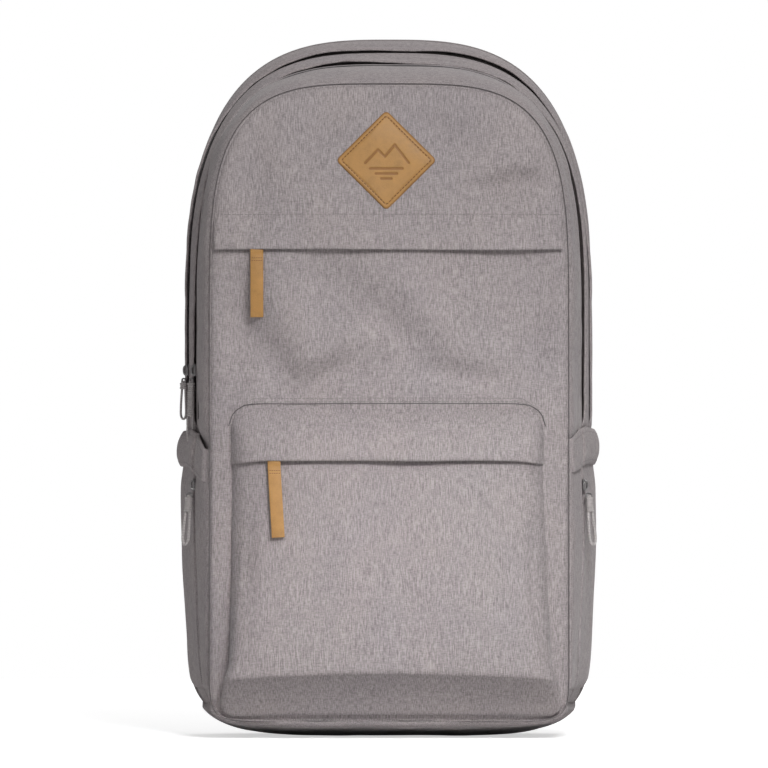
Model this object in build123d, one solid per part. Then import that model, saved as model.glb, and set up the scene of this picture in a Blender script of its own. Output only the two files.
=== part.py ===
from build123d import *
import math
import os
from collections import namedtuple

# A daypack that opens from the front.  Millimetres.  +Z is up, the wearer's back is at +Y and the pockets
# face -Y.  The origin is on the ground, in the middle of the pack's outer box.

# ---- Driving dimensions --------------------------------------------------------------------------------
HEIGHT = 500.0        # ground to the highest point of the top arch
SPRING = 290.0        # where the straight sides turn into the arch
FOOT = 110.0          # where the bottom corners begin
WALL = 3.0            # padded fabric wall: shell cloth, thin foam and lining
ZIP_GAP = 6.0         # space between two gussets for a zip
SHIFT = -21.6         # moves the whole pack along Y so that the origin is mid-depth

FOLD_Z = 240.0        # the front folds down here when the main zip is open
ZIP_END_Z = 224.0     # both arched zips end here, on each side
LID_CLEARANCE = 0.25

HANDLE_PIVOT = (86.0, 478.0)      # (y, z) of the line that the haul handle's ends are sewn on
HANDLE_TILT = math.radians(26)    # the handle hangs this far out from the back

# A shoulder strap's inner face seen from the side, (y, z), and its middle line seen from behind, (x, z).
STRAP_TOP_Z = 424.0
STRAP_END_Z = 166.0
STRAP_THICKNESS = 11.0
STRAP_BOW = [(93, STRAP_TOP_Z), (107, 370), (112, 300), (108, 230), (99, STRAP_END_Z)]
STRAP_LINE = [(57, STRAP_TOP_Z), (61, 370), (64, 300), (76, 230), (99, STRAP_END_Z)]
STRAP_WIDTHS = [50, 58, 60, 54, 40]
LOCK_MIDDLE = (102.0, 103.5, 148.0)
LOCK_HALF = 13.8                  # half the ladder lock's length, plus a small gap
WEB_FOOT = (118.0, 87.5, 54.0)    # where the lower webbing is sewn to the pack's wing
WEB_HALF_WIDTH = 12.5
TAIL_LENGTH = 82.0
CHEST_X = 22.0                    # the chest strap's halves hang this far from the middle
CHEST_Z = 310.0

POCKET_MIDDLE = -1.5              # the lower pocket sits a little off centre
POCKET_HALF = 111.0
LOWER_PROFILE = [(13, WALL), (41, 33), (60, 36), (120, 34), (190, 27), (212, 21), (226, 10), (232, WALL)]
LOWER_ZIP_H = 205.0
LOWER_ZIP_D = 23.4
UPPER_ZIP_H = 356.0
UPPER_PULL_X = -94.0
LOWER_PULL_X = -81.0
PATCH_MIDDLE = (-2.0, 411.0)
PATCH_SIDE = 51.0

SIDE_ZIP_Y = -8.0
ARCH_SLIDER_Z = 262.0             # both arched zips' sliders are parked here, on the left side

# ---- Cross-sections, from the wearer's back to the front panel ---------------------------------------------
Section = namedtuple("Section", "y_foot y_top half top bottom arch_power corner_power")
BACK = Section(72, 72, 145, 500, 5, 3.0, 5.5)
REAR_ZIP = Section(44, 46, 143.5, 490, 3.2, 3.0, 5.5)
MAIN_ZIP = Section(12, 18, 137.5, 481, 3.2, 3.2, 5.5)
FRONT = Section(-56, -36, 128, 466, 12, 3.8, 13.0)
BODY_SECTIONS = [BACK, REAR_ZIP, MAIN_ZIP, FRONT]


def moved(section, distance):
    """The same section, further along Y."""
    return section._replace(y_foot=section.y_foot + distance, y_top=section.y_top + distance)


def outline(section, grow=0.0):
    """Flat face of a section: arched top, straight sides and round bottom corners, grown outwards."""
    lean = (section.y_top - section.y_foot) / HEIGHT
    half = section.half + grow

    def place(x, z):
        return (x, section.y_foot + lean * z + SHIFT, z)

    def quarter_steps(first_angle, middle, rise, power):
        points = []
        for step in range(13):
            angle = math.radians(first_angle + 15 * step)
            across, up = math.cos(angle), math.sin(angle)
            x = half * math.copysign(abs(across) ** (2 / power), across)
            z = middle + rise * math.copysign(abs(up) ** (2 / power), up)
            points.append(place(0 if step == 6 else x, z if step % 12 else middle))
        return points

    upward, downward = (0, lean, 1), (0, -lean, -1)
    arch = Spline(*quarter_steps(0, SPRING, section.top + grow - SPRING, section.arch_power),
                  tangents=[upward, downward])
    corners = Spline(*quarter_steps(180, FOOT, FOOT - section.bottom + grow, section.corner_power),
                     tangents=[downward, upward])
    sides = [Line(place(side * half, FOOT), place(side * half, SPRING)) for side in (-1, 1)]
    return Face(Wire([arch, corners, *sides]))


def wall(sections, inside=-WALL, outside=0.0):
    """The tube of cloth through the sections, between two distances from the pack's surface."""
    outer = loft([outline(s, outside) for s in sections], ruled=True)
    inner = loft([outline(s, inside) for s in sections], ruled=True)
    return outer - inner


def side_prism(points, x_low=-200.0, x_high=200.0):
    """A prism along X with a side profile of (y, z) points."""
    profile = [(y + SHIFT, z) for y, z in points]
    face = Face(Polyline(*[(x_low, y, z) for y, z in profile], close=True).wire())
    return extrude(face, amount=x_high - x_low, dir=(1, 0, 0))


def slab(x_low, x_high, y_low, y_high, z_low, z_high):
    """A box from its limits."""
    size = (x_high - x_low, y_high - y_low, z_high - z_low)
    middle = ((x_low + x_high) / 2, (y_low + y_high) / 2 + SHIFT, (z_low + z_high) / 2)
    return Pos(*middle) * Box(*size)


def rounded_slab(x_low, x_high, y_low, y_high, z_low, z_high, radius):
    """A box whose outline, seen along Y, has round corners."""
    block = slab(x_low, x_high, y_low, y_high, z_low, z_high)
    return fillet(block.edges().filter_by(Axis.Y), radius)


# ---- The plane of the front panel: x across, h up the panel, d outwards ------------------------------------
FRONT_LEAN = math.atan2(FRONT.y_top - FRONT.y_foot, HEIGHT)
FRONT_PLANE = Plane(origin=(0, FRONT.y_foot + SHIFT, 0), x_dir=(1, 0, 0),
                    z_dir=(0, -math.cos(FRONT_LEAN), math.sin(FRONT_LEAN)))


def front_point(h, d):
    """(y, z) before SHIFT of a point on the front panel's plane."""
    return (FRONT.y_foot + h * math.sin(FRONT_LEAN) - d * math.cos(FRONT_LEAN),
            h * math.cos(FRONT_LEAN) + d * math.sin(FRONT_LEAN))


def front_prism(points, x_low, x_high):
    """A prism along X with a side profile of (h, d) points."""
    return side_prism([front_point(h, d) for h, d in points], x_low, x_high)


FOLD_Y = front_point(FOLD_Z, WALL)[0]
TUB_PROFILE = [(-90, -20), (100, -20), (100, ZIP_END_Z - 2), (MAIN_ZIP.y_foot + 3, ZIP_END_Z - 2),
               (FOLD_Y, FOLD_Z), (-90, FOLD_Z)]
LID_PROFILE = [(-90, FOLD_Z + LID_CLEARANCE), (FOLD_Y, FOLD_Z + LID_CLEARANCE),
               (MAIN_ZIP.y_foot + 3, ZIP_END_Z - 2 + LID_CLEARANCE), (100, ZIP_END_Z - 2 + LID_CLEARANCE),
               (100, 520), (-90, 520)]
ABOVE_ZIP_ENDS = slab(-200, 200, -100, 100, ZIP_END_Z - 2, 520)
TUB = side_prism(TUB_PROFILE)
LID = side_prism(LID_PROFILE)

nodes = {}


def make_body():
    """The fixed shell: back panel, gussets behind the main zip, the lower tub and its base."""
    nodes["back_panel"] = loft([outline(moved(BACK, 8), -6), outline(BACK, -1)], ruled=True)
    nodes["back_piping"] = wall([moved(BACK, 2.5), BACK], 0.1, 2.4)
    half_gap = ZIP_GAP / 2
    behind_rear, before_rear = moved(REAR_ZIP, half_gap), moved(REAR_ZIP, -half_gap)
    behind_main, before_main = moved(MAIN_ZIP, half_gap), moved(MAIN_ZIP, -half_gap)
    nodes["rear_gusset"] = wall([BACK, behind_rear]) & ABOVE_ZIP_ENDS
    nodes["rear_zip"] = wall([behind_rear, before_rear], -2.4, -1.0) & ABOVE_ZIP_ENDS
    nodes["middle_gusset"] = wall([before_rear, behind_main]) & ABOVE_ZIP_ENDS
    nodes["main_zip_rear_tape"] = wall([behind_main, moved(MAIN_ZIP, 0.2)], -2.4, -1.0) & ABOVE_ZIP_ENDS
    divider = Section(40, 40, 138.5, 484, 8.5, 3.0, 5.5)
    nodes["divider"] = loft([outline(divider), outline(moved(divider, -3))], ruled=True)

    tub = wall(BODY_SECTIONS) & TUB
    for name, x_low, x_high in (("left", -200, -112), ("right", 112, 200)):
        nodes[f"side_panel_{name}"] = tub & slab(x_low, x_high, -100, 100, -20, 300)
    nodes["bottom_panel"] = tub & slab(-112, 112, -100, 100, -20, 60)
    patch = fillet(slab(-92, 92, -34, 60, 0, 12).edges().filter_by(Axis.Z), 16)
    nodes["base_patch"] = patch - loft([outline(s) for s in BODY_SECTIONS], ruled=True)

    panel = loft([outline(FRONT), outline(moved(FRONT, -WALL), -1)], ruled=True)
    nodes["front_panel_lower"] = panel & TUB
    return panel, before_main


def make_back():
    """Padding, yoke, straps' sewn ends, lower strap wings and the haul handle."""
    pads, roots, wings = [], [], []
    for side in (-1, 1):
        pads.append(rounded_slab(*sorted((side * 9, side * 102)), 80, 90, 150, 418, 14))
        root_profile = [(84, 427), (103, 427), (98, 442), (84, 458)]
        roots.append(side_prism(root_profile, *sorted((side * 31, side * 83))))
        wing = rounded_slab(*sorted((side * 98, side * 133)), 80, 82, 34, 74, 6)
        tip = slab(*sorted((side * 103, side * 133)), 82, 91, 36, 50)
        wings.append(wing + tip)
    nodes["back_pads"] = Compound(children=pads)
    nodes["strap_roots"] = Compound(children=roots)
    nodes["strap_wings"] = Compound(children=wings)
    nodes["lumbar_pad"] = rounded_slab(-94, 94, 80, 91, 32, 138, 14)
    nodes["yoke"] = rounded_slab(-88, 88, 80, 84, 424, 476, 8)

    # The handle is a flat hoop that hangs from the yoke, tilted out over the straps' sewn ends.
    hang = Plane(origin=(0, HANDLE_PIVOT[0] + SHIFT, HANDLE_PIVOT[1]), x_dir=(1, 0, 0),
                 z_dir=(0, math.cos(HANDLE_TILT), math.sin(HANDLE_TILT)))
    hoop = Rectangle(104, 46) - Pos(0, -7) * Rectangle(78, 36)
    hoop = fillet(hoop.vertices().sort_by(Axis.Y)[-2:], 13)
    nodes["haul_handle"] = extrude(hang * Pos(0, 23) * hoop, amount=3)


def bow_band(thickness, lift=0.0):
    """Side profile of the shoulder strap: a bowed band of even thickness."""
    near = [(-200, y + SHIFT + lift, z) for y, z in STRAP_BOW]
    far = [(-200, y + SHIFT + lift + thickness, z) for y, z in reversed(STRAP_BOW)]
    edges = [Spline(*near), Line(near[-1], far[0]), Spline(*far), Line(far[-1], near[0])]
    return extrude(Face(Wire(edges)), amount=400, dir=(1, 0, 0))


def make_shoulder_strap(name, side):
    """A padded strap with its ladder lock, lower webbing, loose tail and half of the chest strap."""
    inner = [(side * (x - w / 2), 60, z) for (x, z), w in zip(STRAP_LINE, STRAP_WIDTHS)]
    outer = [(side * (x + w / 2), 60, z) for (x, z), w in zip(STRAP_LINE, STRAP_WIDTHS)][::-1]
    edges = [Spline(*inner), Line(inner[-1], outer[0]), Spline(*outer), Line(outer[-1], inner[0])]
    plan = Face(Wire(edges))
    strap = extrude(plan, amount=120, dir=(0, 1, 0)) & bow_band(STRAP_THICKNESS)
    nodes[f"shoulder_strap_{name}"] = strap

    # The lower webbing runs straight from the ladder lock to the wing at the pack's corner.
    top = Vector(side * LOCK_MIDDLE[0], LOCK_MIDDLE[1] + SHIFT, LOCK_MIDDLE[2])
    foot = Vector(side * WEB_FOOT[0], WEB_FOOT[1] + SHIFT, WEB_FOOT[2])
    along = (foot - top).normalized()
    across = Vector(0, 1, 0).cross(along).normalized()
    lock_plane = Plane(origin=top, x_dir=across, z_dir=across.cross(along * -1))
    frame = Rectangle(34, 27) - Pos(0, 7) * Rectangle(27, 5) - Pos(0, -1.5) * Rectangle(27, 4)
    frame = frame - Pos(0, -9) * Rectangle(27, 4)
    nodes[f"ladder_lock_{name}"] = extrude(lock_plane * frame, amount=2, both=True)
    reach = (foot - top).length
    web = Pos(0, -(LOCK_HALF + reach) / 2) * Rectangle(2 * WEB_HALF_WIDTH, reach - LOCK_HALF)
    tail = Pos(0, -LOCK_HALF - TAIL_LENGTH / 2) * Rectangle(2 * WEB_HALF_WIDTH - 1, TAIL_LENGTH)
    outward = 1 if lock_plane.z_dir.Y > 0 else -1
    nodes[f"lower_webbing_{name}"] = Compound(children=[
        extrude(lock_plane * web, amount=0.8, both=True),
        Pos(0, 6, 0) * extrude(lock_plane * tail, amount=outward * 1.6)])

    # Half of the chest strap hangs in front of a keeper that is sewn across the padded strap.
    keeper_y = STRAP_BOW[2][0] + STRAP_THICKNESS + 0.1
    keeper_limits = sorted((side * (CHEST_X - 8), side * 88))
    nodes[f"chest_keeper_{name}"] = slab(*keeper_limits, keeper_y, keeper_y + 1.6, CHEST_Z, CHEST_Z + 20)
    web_y = keeper_y + 1.8
    web_limits = sorted((side * (CHEST_X - 8), side * (CHEST_X + 8)))
    nodes[f"chest_web_{name}"] = slab(*web_limits, web_y, web_y + 1.6, CHEST_Z - 48, CHEST_Z + 6)
    tip_limits = sorted((side * (CHEST_X - 10), side * (CHEST_X + 10)))
    buckle = slab(*tip_limits, web_y, web_y + 6, CHEST_Z - 62, CHEST_Z - 48)
    if side < 0:
        for prong_x in (-7, 0, 7):
            middle = side * CHEST_X + prong_x
            buckle = buckle + slab(middle - 1.5, middle + 1.5, web_y + 1.5, web_y + 4.5,
                                   CHEST_Z - 78, CHEST_Z - 62)
        nodes["chest_buckle_male"] = buckle
    else:
        buckle = buckle + slab(*tip_limits, web_y, web_y + 8, CHEST_Z - 82, CHEST_Z - 60)
        mouth = slab(side * CHEST_X - 9, side * CHEST_X + 9, web_y + 1.5, web_y + 6.5,
                     CHEST_Z - 90, CHEST_Z - 64)
        nodes["chest_buckle_female"] = buckle - mouth


def slot_loop(length, width, cord):
    """A flat loop of cord, hanging down from its top: seen from the front."""
    window = SlotOverall(length - 2 * cord, width - 2 * cord, rotation=90)
    return Pos(0, -length / 2) * (SlotOverall(length, width, rotation=90) - window)


def inset(points, distance):
    """The pocket's inner profile: the outer one, closer to the panel."""
    return [(h + (distance if h < 50 else 0) - (distance if h > 210 else 0), d - distance) for h, d in points]


def make_front(panel, before_main):
    """Everything on the front: the lid with its pocket, flap and patch, and the lower pocket."""
    nodes["front_gusset"] = wall([before_main, FRONT]) & LID
    front_tape = wall([moved(MAIN_ZIP, -0.2), before_main], -2.4, -1.0)
    nodes["main_zip_front_tape"] = front_tape & slab(-200, 200, -100, 100, FOLD_Z - 4, 520)
    lid_panel = panel & LID
    upper_half = front_prism([(363, -20), (520, -20), (520, 30), (363, 30)], -200, 200)
    nodes["front_panel_upper"] = lid_panel & upper_half
    nodes["front_panel_middle"] = lid_panel - upper_half
    lining_profile = [(258, -WALL - 2.4), (258, -WALL - 0.4), (352, -WALL - 0.4), (352, -WALL - 2.4)]
    nodes["upper_pocket_lining"] = front_prism(lining_profile, -108, 108)

    nodes["upper_zip"] = front_prism([(350, 3), (350, 3.8), (362, 3.8), (362, 3)], -112, 112)
    nodes["upper_flap"] = front_prism([(368, 3.4), (368, 5.4), (347.5, 10.6), (347.5, 8.6)], -124, 124)
    patch = Pos(*PATCH_MIDDLE, WALL) * Rot(0, 0, 45) * RectangleRounded(PATCH_SIDE, PATCH_SIDE, 4)
    patch = FRONT_PLANE * patch
    nodes["leather_patch"] = extrude(patch, amount=2)

    low, high = POCKET_MIDDLE - POCKET_HALF, POCKET_MIDDLE + POCKET_HALF
    outside = front_prism(LOWER_PROFILE, low, high)
    hollow = front_prism(inset(LOWER_PROFILE, 2.5), low + 2.5, high - 2.5)
    nodes["lower_pocket"] = outside - hollow - slab(-200, 200, FRONT.y_foot - 3, 0, -20, 10)
    zip_d = LOWER_ZIP_D
    zip_profile = [(199, zip_d + 1.4), (199, zip_d + 2.2), (211, zip_d - 1.1), (211, zip_d - 1.9)]
    nodes["lower_zip"] = front_prism(zip_profile, low + 8, high - 8)
    flap = [(235, 4.4), (236.5, 6.4), (215, 28), (197, 33), (197, 31), (213.5, 26.2)]
    nodes["lower_flap"] = front_prism(flap, low - 1, high + 1)


def make_zip_pull(name, h, d, x, length, rise):
    """A slider on a front zip with a folded leather tab hanging from it, leaning out by rise."""
    slider = [(h - 6, d), (h - 6, d + 1.6), (h - 3, d + 2.6), (h + 5, d + 1.2), (h + 5, d)]
    nodes[f"{name}_slider"] = front_prism(slider, x - 3.5, x + 3.5)
    top, tip = h - 9, h - 10 - length
    pull = [(top, d + 2.2), (top, d + 4.6), (tip, d + 4.6 + rise), (tip, d + 2.2 + rise)]
    nodes[f"{name}_pull"] = front_prism(pull, x - 4.6, x + 4.6)


def make_side(name, side):
    """Side pocket, its zip, slider and cord pull, and the band sewn across its mouth."""
    half_space = slab(*sorted((side * 60, side * 220)), -100, 100, -20, 520)
    pocket_zone = slab(-220, 220, -40, 62, 32, 184) & half_space
    zip_zone = slab(-220, 220, SIDE_ZIP_Y - 3, SIDE_ZIP_Y + 3, 40, 184) & half_space
    pocket = wall(BODY_SECTIONS, 0.05, 3.0) & pocket_zone
    nodes[f"side_pocket_{name}"] = pocket - slab(-220, 220, SIDE_ZIP_Y - 3, SIDE_ZIP_Y + 3, 40, 190)
    nodes[f"side_zip_{name}"] = wall(BODY_SECTIONS, 0.6, 2.2) & zip_zone
    band_zone = slab(-220, 220, -52, 68, 187, 223) & half_space
    nodes[f"side_band_{name}"] = wall(BODY_SECTIONS, 4.4, 6.4) & band_zone

    surface = side_surface_x(SIDE_ZIP_Y + 3.5, 70) + 3.2
    x_limits = sorted((side * surface, side * (surface + 2.4)))
    nodes[f"side_slider_{name}"] = slab(*x_limits, SIDE_ZIP_Y - 3.5, SIDE_ZIP_Y + 3.5, 175, 185)
    loop_plane = Plane(origin=(side * (surface + 3.4), SIDE_ZIP_Y + SHIFT, 173), x_dir=(0, 1, 0),
                       z_dir=(1, 0, 0))
    nodes[f"side_pull_{name}"] = extrude(loop_plane * slot_loop(40, 7, 1.8), amount=0.9, both=True)


def section_y(section, z):
    """Where a leaning section is at a height, before SHIFT."""
    return section.y_foot + (section.y_top - section.y_foot) * z / HEIGHT


def side_surface_x(y, z):
    """Half width of the straight sides between the front's section and the main zip's."""
    front_y, zip_y = section_y(FRONT, z), section_y(MAIN_ZIP, z)
    return FRONT.half + (MAIN_ZIP.half - FRONT.half) * (y - front_y) / (zip_y - front_y)


def make_arch_slider(name, section):
    """Slider and cord pull of an arched zip, parked at the zip's left end."""
    y = section_y(section, ARCH_SLIDER_Z)
    x = -(section.half + 0.4)
    nodes[f"{name}_slider"] = slab(x - 2.6, x, y - 4, y + 4, ARCH_SLIDER_Z - 6, ARCH_SLIDER_Z + 6)
    loop_plane = Plane(origin=(x - 3.8, y + SHIFT, ARCH_SLIDER_Z - 7.5), x_dir=(0, 1, 0), z_dir=(1, 0, 0))
    nodes[f"{name}_pull"] = extrude(loop_plane * slot_loop(23, 6, 1.6), amount=0.8, both=True)


front_skin, edge_before_main = make_body()
make_back()
make_front(front_skin, edge_before_main)
for side_name, side_sign in (("left", -1), ("right", 1)):
    make_shoulder_strap(side_name, side_sign)
    make_side(side_name, side_sign)
make_zip_pull("upper", UPPER_ZIP_H - 3, 3.9, UPPER_PULL_X, 44, 0.4)
make_zip_pull("lower", LOWER_ZIP_H - 2, LOWER_ZIP_D + 2.2, LOWER_PULL_X, 52, 4.9)
make_arch_slider("rear", REAR_ZIP)
make_arch_slider("main", MAIN_ZIP)

os.makedirs("parts", exist_ok=True)
for node_name, shape in nodes.items():
    solids = shape.solids() if hasattr(shape, "solids") else [shape]
    export_step(Compound(children=list(solids)) if len(solids) > 1 else solids[0], f"parts/{node_name}.step")
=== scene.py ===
"""A daypack in heather fabric: cloth, leather, zips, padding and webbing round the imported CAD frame.

Lengths in this script are millimetres in the CAD frame; build_mesh turns them into metres.
"""

import math
from collections import namedtuple

import bpy
import numpy as np
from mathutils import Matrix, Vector
from mathutils.bvhtree import BVHTree


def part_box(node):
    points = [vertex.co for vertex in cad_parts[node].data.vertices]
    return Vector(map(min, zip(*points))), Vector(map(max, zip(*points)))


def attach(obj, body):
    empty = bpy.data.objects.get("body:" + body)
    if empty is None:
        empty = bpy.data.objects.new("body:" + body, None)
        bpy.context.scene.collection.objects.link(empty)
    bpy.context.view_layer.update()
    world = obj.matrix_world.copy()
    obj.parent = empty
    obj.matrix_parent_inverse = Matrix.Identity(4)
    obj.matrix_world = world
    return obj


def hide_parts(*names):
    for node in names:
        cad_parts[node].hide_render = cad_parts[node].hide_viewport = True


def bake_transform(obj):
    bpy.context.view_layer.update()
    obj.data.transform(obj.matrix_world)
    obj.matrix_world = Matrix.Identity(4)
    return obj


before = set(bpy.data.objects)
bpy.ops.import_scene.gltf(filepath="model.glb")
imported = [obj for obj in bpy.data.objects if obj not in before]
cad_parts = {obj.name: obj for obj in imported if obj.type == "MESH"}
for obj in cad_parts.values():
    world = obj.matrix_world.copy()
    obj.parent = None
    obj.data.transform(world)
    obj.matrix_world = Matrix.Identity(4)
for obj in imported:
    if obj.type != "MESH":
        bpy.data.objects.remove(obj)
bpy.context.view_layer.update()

MM = 0.001
X_AXIS = np.array([1.0, 0.0, 0.0])
Y_AXIS = np.array([0.0, 1.0, 0.0])


def node_box(node):
    """Lowest and highest corner of a CAD node, in millimetres."""
    low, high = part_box(node)
    return np.array(low) / MM, np.array(high) / MM


# ---- Driving dimensions ----
SHIFT = node_box("back_panel")[1][1] - 80.0     # the CAD's own move along Y
HEIGHT = 500.0
SPRING = 290.0        # where the straight sides turn into the arch
FOOT = 110.0          # where the bottom corners begin
ZIP_END_Z = 224.0
RING = 480            # points round a section; a multiple of 8

Section = namedtuple("Section", "y_foot y_top half top bottom arch_power corner_power")
BACK = Section(72, 72, 145, 500, 5, 3.0, 5.5)
REAR_ZIP = Section(44, 46, 143.5, 490, 3.2, 3.0, 5.5)
MAIN_ZIP = Section(12, 18, 137.5, 481, 3.2, 3.2, 5.5)
FRONT = Section(-56, -36, 128, 466, 12, 3.8, 13.0)
DIVIDER = Section(40, 40, 136.5, 484, 10.5, 3.0, 5.5)
FRONT_LEAN = math.atan2(FRONT.y_top - FRONT.y_foot, HEIGHT)


# ---- Small numeric helpers ----
def smoothstep(low, high, value):
    """0 below low, 1 above high, smooth between."""
    t = np.clip((np.asarray(value, float) - low) / (high - low), 0, 1)
    return t * t * (3 - 2 * t)


def lattice_noise(points, size, seed):
    """Smooth noise from -1 to 1 at points (..., 3); size is the millimetres between lattice points."""
    table = np.random.RandomState(seed).uniform(-1, 1, (32, 32, 32))
    q = np.asarray(points, float) / np.asarray(size, float) + 1000.5
    cell = np.floor(q).astype(int)
    t = q - cell
    t = t * t * (3 - 2 * t)
    total = 0
    for dx in (0, 1):
        for dy in (0, 1):
            for dz in (0, 1):
                weight = (np.where(dx, t[..., 0], 1 - t[..., 0]) * np.where(dy, t[..., 1], 1 - t[..., 1])
                          * np.where(dz, t[..., 2], 1 - t[..., 2]))
                corner = (cell + (dx, dy, dz)) % 32
                total = total + weight * table[corner[..., 0], corner[..., 1], corner[..., 2]]
    return total


def line_noise(x, size, seed):
    """Smooth noise along one axis."""
    return lattice_noise(np.stack([x, 0 * x, 0 * x], -1), (size, 1, 1), seed)


def plane_noise(x, z, sizes, seed):
    """Smooth noise over two axes."""
    return lattice_noise(np.stack([x, 0 * x, z], -1), (sizes[0], 1, sizes[1]), seed)


def signed_power(value, power):
    """A power of a value's size with the value's sign: below 1 it squares a circle off."""
    return np.sign(value) * np.abs(value) ** power


def unit(vectors):
    """Vectors at length 1."""
    vectors = np.asarray(vectors, float)
    return vectors / np.maximum(np.linalg.norm(vectors, axis=-1, keepdims=True), 1e-9)


def resample(path, step=None, count=None, closed=False):
    """Even points along a path, and the tangent at each."""
    path = np.asarray(path, float)
    if closed:
        path = np.vstack([path, path[:1]])
    lengths = np.r_[0, np.cumsum(np.linalg.norm(np.diff(path, axis=0), axis=1))]
    if count is None:
        count = max(2, int(round(lengths[-1] / step)) + (0 if closed else 1))
    at = np.linspace(0, lengths[-1], count, endpoint=not closed)
    points = np.stack([np.interp(at, lengths, path[:, k]) for k in range(3)], 1)
    ahead = np.stack([np.interp(np.minimum(at + 0.4, lengths[-1]), lengths, path[:, k]) for k in range(3)], 1)
    behind = np.stack([np.interp(np.maximum(at - 0.4, 0), lengths, path[:, k]) for k in range(3)], 1)
    return points, unit(ahead - behind)


def smooth_curve(points, count):
    """A Catmull-Rom curve through points (N, k), sampled evenly in its own parameter."""
    points = np.asarray(points, float)
    padded = np.vstack([2 * points[0] - points[1], points, 2 * points[-1] - points[-2]])
    at = np.linspace(0, len(points) - 1, count)
    cell = np.minimum(at.astype(int), len(points) - 2)
    t = (at - cell)[:, None]
    p0, p1, p2, p3 = (padded[cell + k] for k in range(4))
    return 0.5 * (2 * p1 + (p2 - p0) * t + (2 * p0 - 5 * p1 + 4 * p2 - p3) * t ** 2
                  + (3 * p1 - p0 - 3 * p2 + p3) * t ** 3)


def round_corners(x_low, x_high, z_low, z_high, radius, count):
    """(x, z) points round a rectangle with round corners, from its lower right; count points per corner."""
    middles = [(x_high - radius, z_low + radius), (x_high - radius, z_high - radius),
               (x_low + radius, z_high - radius), (x_low + radius, z_low + radius)]
    points = []
    for turn, (x, z) in enumerate(middles):
        for angle in math.pi / 2 * (turn - 1 + np.linspace(0, 1, count)):
            points.append((x + radius * math.cos(angle), z + radius * math.sin(angle)))
    return np.array(points)


# ---- Mesh helpers ----
def build_mesh(name, points, faces, material):
    """A smooth object from points in millimetres."""
    mesh = bpy.data.meshes.new(name)
    places = (np.asarray(points, float).reshape(-1, 3) * MM).tolist()
    mesh.from_pydata(places, [], [[int(corner) for corner in face] for face in faces])
    mesh.materials.append(material)
    mesh.polygons.foreach_set("use_smooth", [True] * len(mesh.polygons))
    mesh.update()
    obj = bpy.data.objects.new(name, mesh)
    bpy.context.scene.collection.objects.link(obj)
    return obj


def grid_faces(rows, columns, close_rows=False, close_columns=False):
    """Quads over a grid of points stored row by row."""
    r = np.arange(rows if close_rows else rows - 1)
    c = np.arange(columns if close_columns else columns - 1)
    r, c = np.meshgrid(r, c, indexing="ij")
    r2, c2 = (r + 1) % rows, (c + 1) % columns
    quads = np.stack([r * columns + c, r * columns + c2, r2 * columns + c2, r2 * columns + c], -1)
    return quads.reshape(-1, 4)


def tube_faces(rows, columns, closed=False):
    """Faces of a tube of rings, with its two ends filled unless it is closed."""
    faces = [tuple(f) for f in grid_faces(rows, columns, close_rows=closed, close_columns=True)]
    if not closed:
        faces.append(tuple(range(columns))[::-1])
        faces.append(tuple((rows - 1) * columns + k for k in range(columns)))
    return faces


def grid_object(name, points, material, closed=False, flip=False):
    """A sheet from a grid of points (rows, columns, 3), or a ring from one whose both ways are closed."""
    faces = grid_faces(*points.shape[:2], closed, closed)
    return build_mesh(name, points, faces[:, ::-1] if flip else faces, material)


def apply_modifiers(obj):
    """Bakes an object's modifiers into its mesh."""
    bpy.context.view_layer.update()
    graph = bpy.context.evaluated_depsgraph_get()
    mesh = bpy.data.meshes.new_from_object(obj.evaluated_get(graph))
    old = obj.data
    obj.modifiers.clear()
    obj.data = mesh
    bpy.data.meshes.remove(old)
    return obj


def thicken(obj, thickness):
    """Gives a sheet a thickness inwards, in millimetres."""
    modifier = obj.modifiers.new("thickness", "SOLIDIFY")
    modifier.thickness = thickness * MM
    modifier.offset = -1.0
    return apply_modifiers(obj)


def mark_rest(obj, depth=1.0):
    """Stores each point's rest place, so that the weave stays on the cloth when it bends.

    A depth under 1 shrinks the places along Y, so that the weave of the front's cloth ignores its folds.
    """
    mesh = obj.data
    attribute = mesh.attributes.get("rest") or mesh.attributes.new("rest", "FLOAT_VECTOR", "POINT")
    flat = np.zeros(len(mesh.vertices) * 3, np.float32)
    mesh.vertices.foreach_get("co", flat)
    flat[1::3] *= depth
    attribute.data.foreach_set("vector", flat)


FRONT_DEPTH = 0.12     # mark_rest's depth for the front's cloth


def finish(obj, replaces, depth):
    """Stores a piece's rest places and hides the CAD nodes that it stands for."""
    mark_rest(obj, depth)
    if replaces:
        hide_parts(*replaces)
    return obj


def piece(obj, body, replaces=(), depth=1.0):
    """Finishes a piece that rides on one body."""
    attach(obj, body)
    return finish(obj, replaces, depth)


def bent_piece(obj, replaces=(), depth=1.0):
    """Finishes a piece with its transform baked in, on no body."""
    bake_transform(obj)
    return finish(obj, replaces, depth)


def lid_piece(obj, replaces=(), depth=1.0):
    """Finishes a piece of cloth with its transform baked in, on no body."""
    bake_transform(obj)
    return finish(obj, replaces, depth)


def drop_on(points, obj, direction, reach=60.0):
    """Moves points along a direction until they lie on an object's surface; returns points and normals."""
    tree = BVHTree.FromObject(obj, bpy.context.evaluated_depsgraph_get())
    direction = Vector(direction).normalized()
    found, normals = [], []
    for p in np.asarray(points, float).reshape(-1, 3):
        origin = Vector(p * MM) - direction * reach * MM
        hit, normal, _, _ = tree.ray_cast(origin, direction, 2 * reach * MM)
        if hit is None:
            hit, normal, _, _ = tree.find_nearest(Vector(p * MM))
        if normal.dot(direction) > 0:
            normal = -normal
        found.append(np.array(hit) / MM)
        normals.append(np.array(normal))
    return np.array(found), np.array(normals)


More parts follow.
